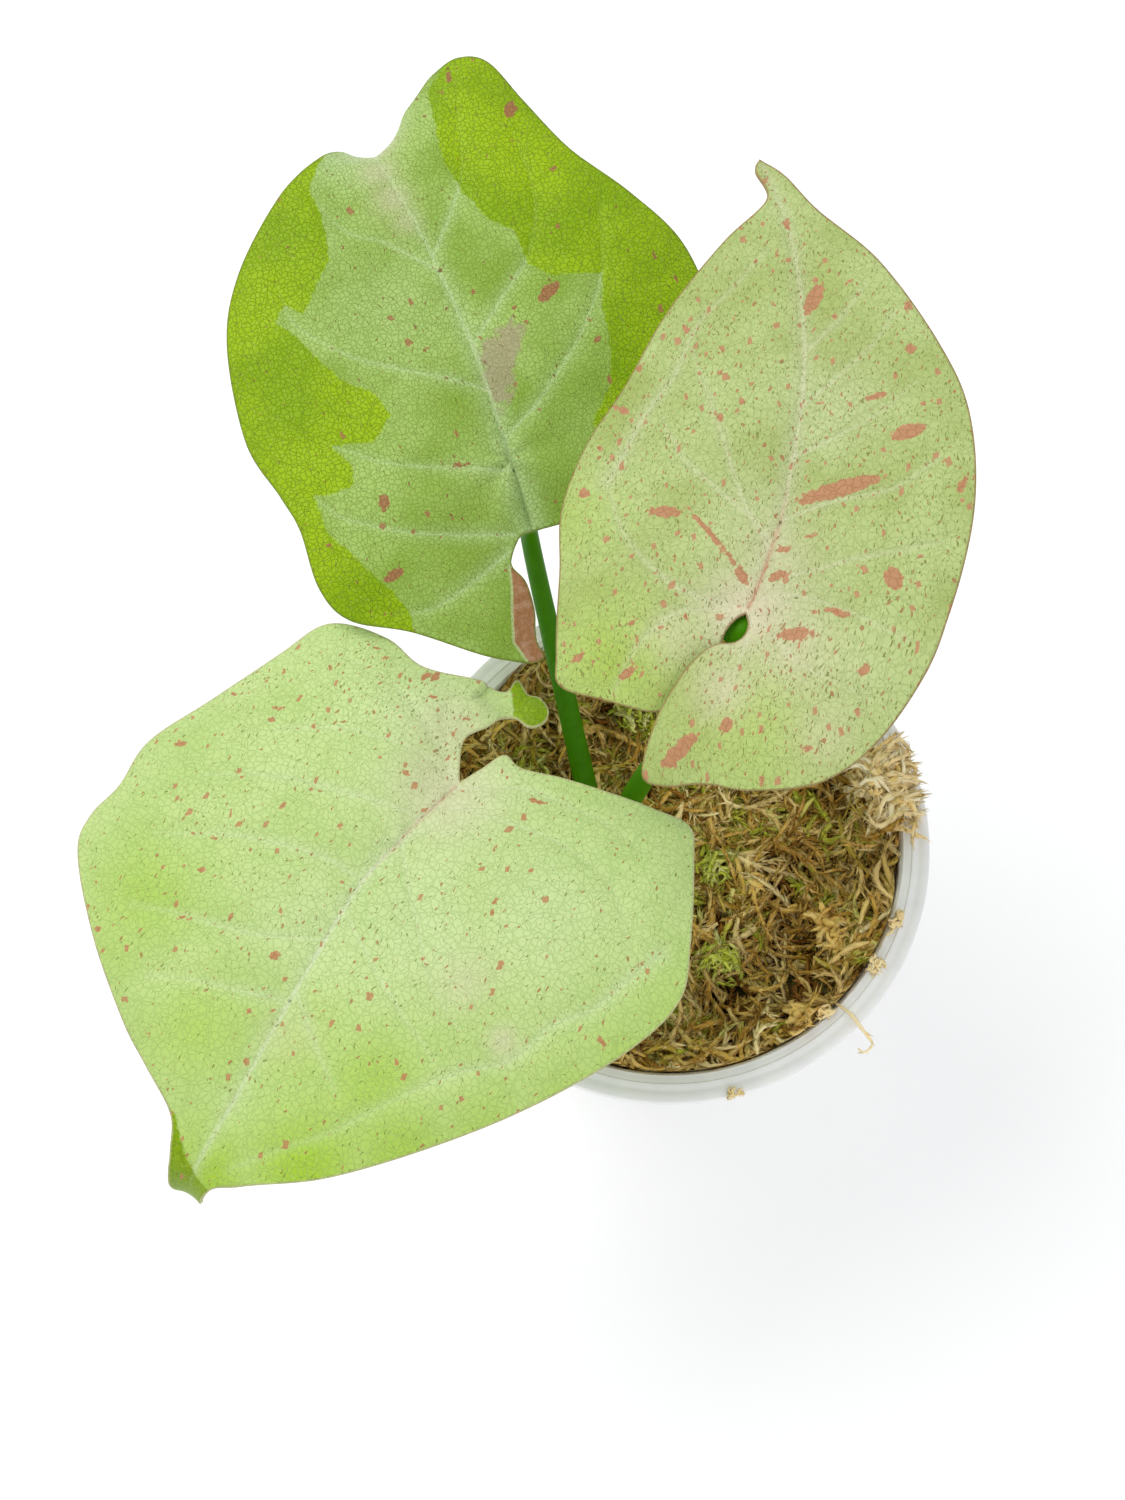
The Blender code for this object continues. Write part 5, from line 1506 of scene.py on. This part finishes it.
def strewing_tree(name, shapes, material):
    """A geometry tree that strews a collection's shapes over a surface."""
    tree = bpy.data.node_groups.new(name, "GeometryNodeTree")
    tree.interface.new_socket("Geometry", in_out="INPUT", socket_type="NodeSocketGeometry")
    tree.interface.new_socket("Geometry", in_out="OUTPUT", socket_type="NodeSocketGeometry")
    sizes = {}
    for label in STREW_INPUTS:
        kind = "NodeSocketInt" if label == "Seed" else "NodeSocketFloat"
        sizes[label] = tree.interface.new_socket(label, in_out="INPUT", socket_type=kind).identifier
    given = add(tree, "NodeGroupInput")
    facing = add(tree, "GeometryNodeInputNormal")
    upward = add(tree, "ShaderNodeSeparateXYZ", None, {0: facing})
    top = add(tree, "FunctionNodeCompare", {"data_type": "FLOAT", "operation": "GREATER_THAN"},
              {0: upward.outputs[2], 1: 0.3})
    cloud = add(tree, "ShaderNodeTexNoise", None, {"Scale": STAIN_PATCHES, "Detail": 1.0})
    here = add(tree, "FunctionNodeCompare", {"data_type": "FLOAT", "operation": "LESS_THAN"},
               {0: cloud.outputs["Fac"], 1: given.outputs["Share chosen"]})
    chosen = add(tree, "FunctionNodeBooleanMath", {"operation": "AND"}, {0: top, 1: here})
    scatter = add(tree, "GeometryNodeDistributePointsOnFaces", None, {
        "Mesh": given.outputs["Geometry"], "Density": given.outputs["Pieces per square metre"],
        "Seed": given.outputs["Seed"], "Selection": chosen})
    lean = add(tree, "ShaderNodeCombineXYZ", None,
               {0: given.outputs["Lean"], 1: given.outputs["Lean"], 2: math.pi})
    back = add(tree, "ShaderNodeVectorMath", {"operation": "SCALE"}, {0: lean, "Scale": -1.0})
    turn = add(tree, "FunctionNodeRandomValue", {"data_type": "FLOAT_VECTOR"},
               {0: back, 1: lean, "Seed": given.outputs["Seed"]})
    size = add(tree, "FunctionNodeRandomValue", {"data_type": "FLOAT"},
               {2: given.outputs["Smallest"], 3: given.outputs["Largest"], "Seed": given.outputs["Seed"]})
    stock = add(tree, "GeometryNodeCollectionInfo", None,
                {"Collection": shapes, "Separate Children": True, "Reset Children": True})
    aligned = add(tree, "FunctionNodeRotateRotation", {"rotation_space": "LOCAL"},
                  {0: scatter.outputs["Rotation"], 1: turn})
    placed = add(tree, "GeometryNodeInstanceOnPoints", None, {
        "Points": scatter.outputs["Points"], "Instance": stock, "Pick Instance": True,
        "Rotation": aligned, "Scale": size.outputs[1]})
    shade = add(tree, "FunctionNodeRandomValue", {"data_type": "FLOAT"}, {2: 0.0, 3: 1.0, "Seed": 5})
    marked = add(tree, "GeometryNodeStoreNamedAttribute", {"data_type": "FLOAT", "domain": "INSTANCE"},
                 {"Geometry": placed, "Name": "tint", "Value": shade.outputs[1]})
    real = add(tree, "GeometryNodeRealizeInstances", None, {"Geometry": marked})
    done = add(tree, "GeometryNodeSetMaterial", None, {"Geometry": real, "Material": material})
    add(tree, "NodeGroupOutput", None, {"Geometry": done})
    return tree, sizes


def strew(name, ground, shapes, material, values):
    """Runs the strewing tree over a surface and returns the strewn pieces as one plain mesh."""
    tree, sizes = strewing_tree(name + "_tree", shapes, material)
    carrier = bpy.data.objects.new(name, ground)
    bpy.context.scene.collection.objects.link(carrier)
    modifier = carrier.modifiers.new("Strew", "NODES")
    modifier.node_group = tree
    for label, value in zip(STREW_INPUTS, values):
        modifier[sizes[label]] = value
    bake(carrier)
    return carrier


print("the strewing tree asks for", STREW_INPUTS)

# %% [markdown]
# The strands are strewn on two thin sheets that follow the bed, one deep for the wet moss and
# one near the top for the rest. Both sheets have holes where the dark hollows are, and
# afterwards the strands that still cross a hollow are pushed out to its edge, and those that
# run into the cup's wall are pressed back inside it.

# %% Moss sheets and hollows
HOLLOWS = ((8.0, -11.0, 3.4), (23.0, -10.0, 2.8), (22.0, -20.0, 3.6), (-11.0, 23.0, 3.4),
           (12.0, -25.0, 2.6))    # place and reach in millimetres
HOLE_SHARE = 0.42                 # the share of a hollow's reach that stays clear of strands
RIM_CLEARANCE = 3.0 * MM          # above this depth below the rim the mouth's own radius holds


def disc_ground(name, radius, pitch, sink):
    """A sheet that follows the moss, for strewing on, with holes where nothing may grow."""
    flat = lattice_points((-radius, -radius), (radius, radius), pitch)
    flat = flat[np.hypot(flat[:, 0], flat[:, 1]) < radius]
    found = geometry.delaunay_2d_cdt([Vector(p) for p in flat], [], [], 0, 1e-7)
    mesh = bpy.data.meshes.new(name)
    points = [(p[0], p[1], moss_height(p[0], p[1]) - sink) for p in found[0]]
    faces = []
    for face in found[2]:
        x, y = (sum(points[i][k] for i in face) / 3 / MM for k in (0, 1))
        if all(math.hypot(x - hx, y - hy) > reach for hx, hy, reach in HOLLOWS):
            faces.append(face)
    mesh.from_pydata(points, [], faces)
    shape = bmesh.new()
    shape.from_mesh(mesh)
    for face in shape.faces:
        if face.normal.z < 0:
            face.normal_flip()
    shape.to_mesh(mesh)
    shape.free()
    return mesh


def comb_strands(thing):
    """Parts strands round the dark hollows, and presses them back against the pot's inner face."""
    mesh = thing.data
    flat = np.empty(len(mesh.vertices) * 3, np.float32)
    mesh.vertices.foreach_get("co", flat)
    points = flat.reshape(-1, 3)
    for x, y, reach in HOLLOWS:
        away = points[:, :2] - np.array((x, y)) * MM
        gap = np.maximum(np.hypot(away[:, 0], away[:, 1]), 1e-6)
        points[:, :2] += away * np.maximum(HOLE_SHARE * reach * MM / gap - 1, 0)[:, None]
    radius = np.hypot(points[:, 0], points[:, 1])
    lip = POT_HEIGHT - RIM_CLEARANCE
    limit = np.where(points[:, 2] > lip, POT_MOUTH_RADIUS, wall_radius(points[:, 2])) - GAP
    squeeze = np.minimum(1.0, limit / np.maximum(radius, 1e-6))
    points[:, 0] *= squeeze
    points[:, 1] *= squeeze
    mesh.vertices.foreach_set("co", points.ravel())
    mesh.update()


STREWN_REACH = 37.2 * MM
SHEET_PITCH = 1.5 * MM
UPPER_GROUND = disc_ground("upper_ground", STREWN_REACH, SHEET_PITCH, 0.2 * MM)
LOWER_GROUND = disc_ground("lower_ground", STREWN_REACH, SHEET_PITCH, 1.3 * MM)
print("sheets of", len(UPPER_GROUND.polygons), "and", len(LOWER_GROUND.polygons), "triangles")

# %% [markdown]
# Five layers make the tangle: wet brown moss below, then dry straw, bold pale strands in
# patches, a few golden ones, and live green moss in patches of its own.

# %% Strewn moss
MOSS_LAYERS = (
    ("wet_moss_strands", LOWER_GROUND, DRY_SHAPES, WET_FIBRE, "dry_moss",
     (120000.0, 0.8, 1.3, 0.2, 3, 1.0)),
    ("dry_moss_strands", UPPER_GROUND, DRY_SHAPES, DRY_FIBRE, "dry_moss",
     (120000.0, 0.6, 1.15, 0.22, 11, 1.0)),
    ("pale_moss_strands", UPPER_GROUND, BOLD_SHAPES, DRY_FIBRE, "dry_moss",
     (230000.0, 0.6, 1.15, 0.2, 31, 0.55)),
    ("golden_moss_strands", UPPER_GROUND, DRY_SHAPES, GOLD_FIBRE, "dry_moss",
     (50000.0, 0.6, 1.0, 0.3, 8, 1.0)),
    ("live_moss_strands", UPPER_GROUND, LIVE_SHAPES, LIVE_FIBRE, "green_moss",
     (190000.0, 0.8, 1.4, 0.45, 21, 0.5)),
)
for name, ground, shapes, material, slot_name, values in MOSS_LAYERS:
    strewn = strew(name, ground, shapes, material, values)
    comb_strands(strewn)
    place(strewn, None)

# %% [markdown]
# Four cushions of live moss stand a little above the straw. Each is a low dome, on which the
# same tree strews the live strands, smaller and much closer together, in a fresher green.

# %% Green tufts
GREEN_TUFTS = {
    "moss_tuft_back_left": (-23.0, 13.0),
    "moss_tuft_back": (-4.0, 24.0),
    "moss_tuft_middle": (8.5, -3.0),
    "moss_tuft_front": (9.0, -19.0),
}
TUFT_RADIUS = 3.4 * MM
TUFT_CUT = 0.35 * TUFT_RADIUS     # how far below its middle the dome is cut flat
TUFT_SQUASH = 0.62
TUFT_SINK = 0.7 * MM
DOME_RINGS = 14                   # steps from the dome's top to its foot
DOME_STEPS = 24                   # steps around it


def tuft_dome(name, x, y):
    """A low dome for a tuft's strands to lie on, its faces in the same order in each run."""
    floor = moss_height(x, y) - TUFT_SINK
    points = []
    for ring in range(DOME_RINGS + 1):
        down = math.pi * ring / DOME_RINGS
        reach = TUFT_RADIUS * math.sin(down)
        level = floor + (max(TUFT_RADIUS * math.cos(down), -TUFT_CUT) + TUFT_CUT) * TUFT_SQUASH
        for i in range(DOME_STEPS):
            angle = 2 * math.pi * i / DOME_STEPS
            points.append((x + reach * math.cos(angle), y + reach * math.sin(angle), level))

    def corner(ring, i):
        return ring * DOME_STEPS + i % DOME_STEPS

    faces = [(corner(ring, i), corner(ring + 1, i), corner(ring + 1, i + 1), corner(ring, i + 1))
             for ring in range(DOME_RINGS) for i in range(DOME_STEPS)]
    mesh = bpy.data.meshes.new(name)
    mesh.from_pydata(points, [], faces)
    return mesh


for seed, (name, (x, y)) in enumerate(GREEN_TUFTS.items()):
    dome = tuft_dome(name + "_dome", x * MM, y * MM)
    tuft = strew("live_" + name, dome, LIVE_SHAPES, FRESH_FIBRE,
                 (600000.0, 0.5, 0.95, 0.5, seed, 1.0))
    place(tuft, name)

# %% [markdown]
# On the right a pale tuft climbs out of the bed and leans over the rim. Its strands follow the
# solid model's route, only thinner and many more, so they are placed by a loop.

# %% Tuft over the rim
RIM_STRANDS = 90
RIM_ROOTED = 40                   # how many of them come up from the bed
RIM_FROM = 5.0                    # the tuft's directions from the pot's axis, in degrees
RIM_TO = 22.0
RIM_HANG = 42.6 * MM              # how far out its strands may hang
RIM_INNER = 36.8 * MM             # from here outwards they lie on the rim


def over_rim(point):
    """Lifts a point of a strand off the rim's top and keeps it from hanging past the rim."""
    radius = math.hypot(point.x, point.y)
    if radius > RIM_HANG:
        point = Vector((point.x * RIM_HANG / radius, point.y * RIM_HANG / radius, point.z))
    if radius > RIM_INNER:
        point.z = max(point.z, POT_HEIGHT + 0.4 * MM)
    return point


def build_rim_tuft():
    """Fine pale strands from the bed up and over the rim, tangled with loose ones on top."""
    rng = random.Random(17)
    pile = Pile()
    tints = []
    for i in range(RIM_STRANDS):
        angle = math.radians(rng.uniform(RIM_FROM, RIM_TO))
        outward = Vector((math.cos(angle), math.sin(angle), 0))
        along = Vector((-outward.y, outward.x, 0))
        if i < RIM_ROOTED:
            sway = rng.gauss(0, 2.2)
            peak = rng.uniform(75.8, 78.6)
            route = ((31.5, 69.5, 0), (33.5, 72.5, 0.1), (35.8, 75.0, 0.3), (38.2, peak, 0.6),
                     (rng.uniform(39.5, 42.2), peak - rng.uniform(0.0, 1.4), 1.0))
            line = [(outward * r + along * sway * bend + Vector((0, 0, z))) * MM
                    for r, z, bend in route]
        else:
            centre = outward * rng.uniform(34.5, 40.4) + Vector((0, 0, rng.uniform(75.4, 77.4)))
            turn = Matrix.Rotation(rng.uniform(0, 2 * math.pi), 3, "Z")
            curl = curly_line(rng, rng.uniform(6, 11) * MM, 9, 0.5)
            line = [turn @ point + centre * MM for point in curl]
        line = [over_rim(point) for point in line]
        first = len(pile.points)
        strand(pile, line, 0.55 * MM, 26, 2.3 * MM, rng, 0.24, 0.3)
        tints += [rng.random()] * (len(pile.points) - first)
    tuft = mesh_object("rim_moss_tuft", pile.points, pile.faces, [PALE_FIBRE])
    store(tuft.data, "tint", tints)
    place(tuft, None)


build_rim_tuft()

# %% [markdown]
# Where a bed of moss meets its cup, strands are pressed flat along the wall and stand up a
# little at the edge. They are set round the wall by a loop, each lying roughly along it, and
# combed like the strewn ones.

# %% Strands along the wall
EDGE_STRANDS = 200


def build_edge_strands():
    """Straw pressed against the cup's wall, which hides the gap between the bed and the rim."""
    rng = random.Random(41)
    pile = Pile()
    tints = []
    for i in range(EDGE_STRANDS):
        angle = 2 * math.pi * (i + rng.random()) / EDGE_STRANDS
        radius = rng.uniform(35.0, 38.0)
        level = rng.uniform(73.0, 74.9)
        centre = Vector((radius * math.cos(angle), radius * math.sin(angle), level)) * MM
        turn = Matrix.Rotation(angle + math.pi / 2 + rng.gauss(0, 0.6), 3, "Z")
        line = [turn @ point + centre for point in curly_line(rng, rng.uniform(6, 12) * MM, 8, 0.22)]
        first = len(pile.points)
        strand(pile, line, 0.5 * MM, 30, 2.4 * MM, rng, 0.4, 0.34)
        tints += [rng.random()] * (len(pile.points) - first)
    straw = mesh_object("edge_moss_strands", pile.points, pile.faces, [DRY_FIBRE])
    store(straw.data, "tint", tints)
    comb_strands(straw)
    place(straw, None)


build_edge_strands()

# %% [markdown]
# A few loose bits lie where they fell: golden knots on the bed, cream crumbs on the rim's inner
# edge, and one thin strand that hooks over the rim. Such small untidy things make a planted pot
# look handled.

# %% Loose bits
GOLD_KNOTS = ((26.0, -13.5, 2.6), (27.0, -17.0, 1.8), (20.0, -29.5, 2.0), (-13.0, 20.0, 1.6),
              (15.0, -6.0, 1.6))
CRUMBS = ((36.6, -14.3, 1.1), (37.3, -13.0, 0.8), (33.4, -20.6, 1.1), (32.6, -21.9, 0.8),
          (24.5, -28.6, 1.2), (9.6, -41.6, 0.8), (11.0, -41.5, 0.5))
HOOK = ((26.0, -26.5, 73.5), (28.4, -28.9, 75.9), (30.2, -31.4, 76.2), (31.6, -33.0, 75.4),
        (32.2, -33.7, 73.8), (31.0, -34.8, 72.9), (30.0, -34.2, 73.2))


def knot(pile, centre, reach, count, rng):
    """A small tangle of short broad strands."""
    for i in range(count):
        turn = Matrix.Rotation(rng.uniform(0, 2 * math.pi), 3, "Z")
        turn = turn @ Matrix.Rotation(rng.gauss(0, 0.3), 3, "Y")
        jog = Vector((rng.gauss(0, 0.4), rng.gauss(0, 0.4), rng.uniform(0, 0.25))) * reach
        curl = curly_line(rng, reach * rng.uniform(1.4, 2.6), 6, 0.5)
        line = [turn @ point + centre + jog for point in curl]
        strand(pile, line, reach * 0.26, 14, reach * 0.6, rng, 0.22, 0.5)


def build_loose_bits():
    """Golden knots and cream crumbs, and the strand that hooks over the rim."""
    rng = random.Random(29)
    golden, cream = Pile(), Pile()
    for x, y, reach in GOLD_KNOTS:
        centre = Vector((x, y, moss_height(x * MM, y * MM) / MM + 1.2)) * MM
        knot(golden, centre, reach * MM, 12, rng)
    for x, y, reach in CRUMBS:
        knot(cream, Vector((x, y, 75.2)) * MM, reach * MM, 9, rng)
    hook = smooth_line([tuple(Vector(point) * MM) for point in HOOK], 0.9 * MM)
    strand(cream, [Vector(point) for point in hook], 0.3 * MM, 16, 1.3 * MM, rng)
    for name, pile, material in (("golden_knots", golden, GOLD_FIBRE), ("cream_crumbs", cream, PALE_FIBRE)):
        bits = mesh_object(name, pile.points, pile.faces, [material])
        store(bits.data, "tint", [0.6 + 0.4 * noise.noise(Vector(p) * 400) for p in pile.points])
        place(bits, None)


build_loose_bits()

# %% [markdown]
# A pale seamless floor and large soft lights give the even, nearly shadowless look of a plant
# photographed on white. The key light comes from the upper left and a broad one fills the front.

# %% Floor and light
FLOOR_HALF = 4.0
FLOOR_LEVEL = -0.5 * MM
floor_corners = [(x * FLOOR_HALF, y * FLOOR_HALF, FLOOR_LEVEL)
                 for x, y in ((-1, -1), (1, -1), (1, 1), (-1, 1))]
floor = mesh_object("floor", floor_corners, [(0, 1, 2, 3)])
floor_material, floor_tree, floor_shader = new_material("pale_studio_floor", {
    "Roughness": 0.9, "Emission Color": colour("#FFFFFF"), "Emission Strength": 0.12})
floor_cloud = add(floor_tree, "ShaderNodeTexNoise", None, {"Scale": 2.0})
floor_colour = paint(floor_tree, colour("#FAFAF9"), [(floor_cloud.outputs["Fac"], colour("#FCFCFC"))])
floor_tree.links.new(floor_colour, floor_shader.inputs["Base Color"])
floor.data.materials.append(floor_material)

world = bpy.data.worlds.new("studio")
world.use_nodes = True
world.node_tree.nodes["Background"].inputs[0].default_value = colour("#FBFCFF")
world.node_tree.nodes["Background"].inputs[1].default_value = 0.66
bpy.context.scene.world = world
PLANT_MIDDLE = Vector((0, 0, 0.1))


def soft_light(name, spot, power, size):
    """A large square light aimed at the plant."""
    data = bpy.data.lights.new(name, "AREA")
    data.energy = power
    data.size = size
    lamp = bpy.data.objects.new(name, data)
    lamp.location = spot
    lamp.rotation_euler = (PLANT_MIDDLE - Vector(spot)).to_track_quat("-Z", "Y").to_euler()
    bpy.context.scene.collection.objects.link(lamp)


soft_light("key", (-0.45, 0.35, 0.85), 4.8, 0.6)
soft_light("fill", (0.5, -0.6, 0.7), 2.4, 0.8)
bpy.context.scene.view_settings.view_transform = "Standard"
print("lit")
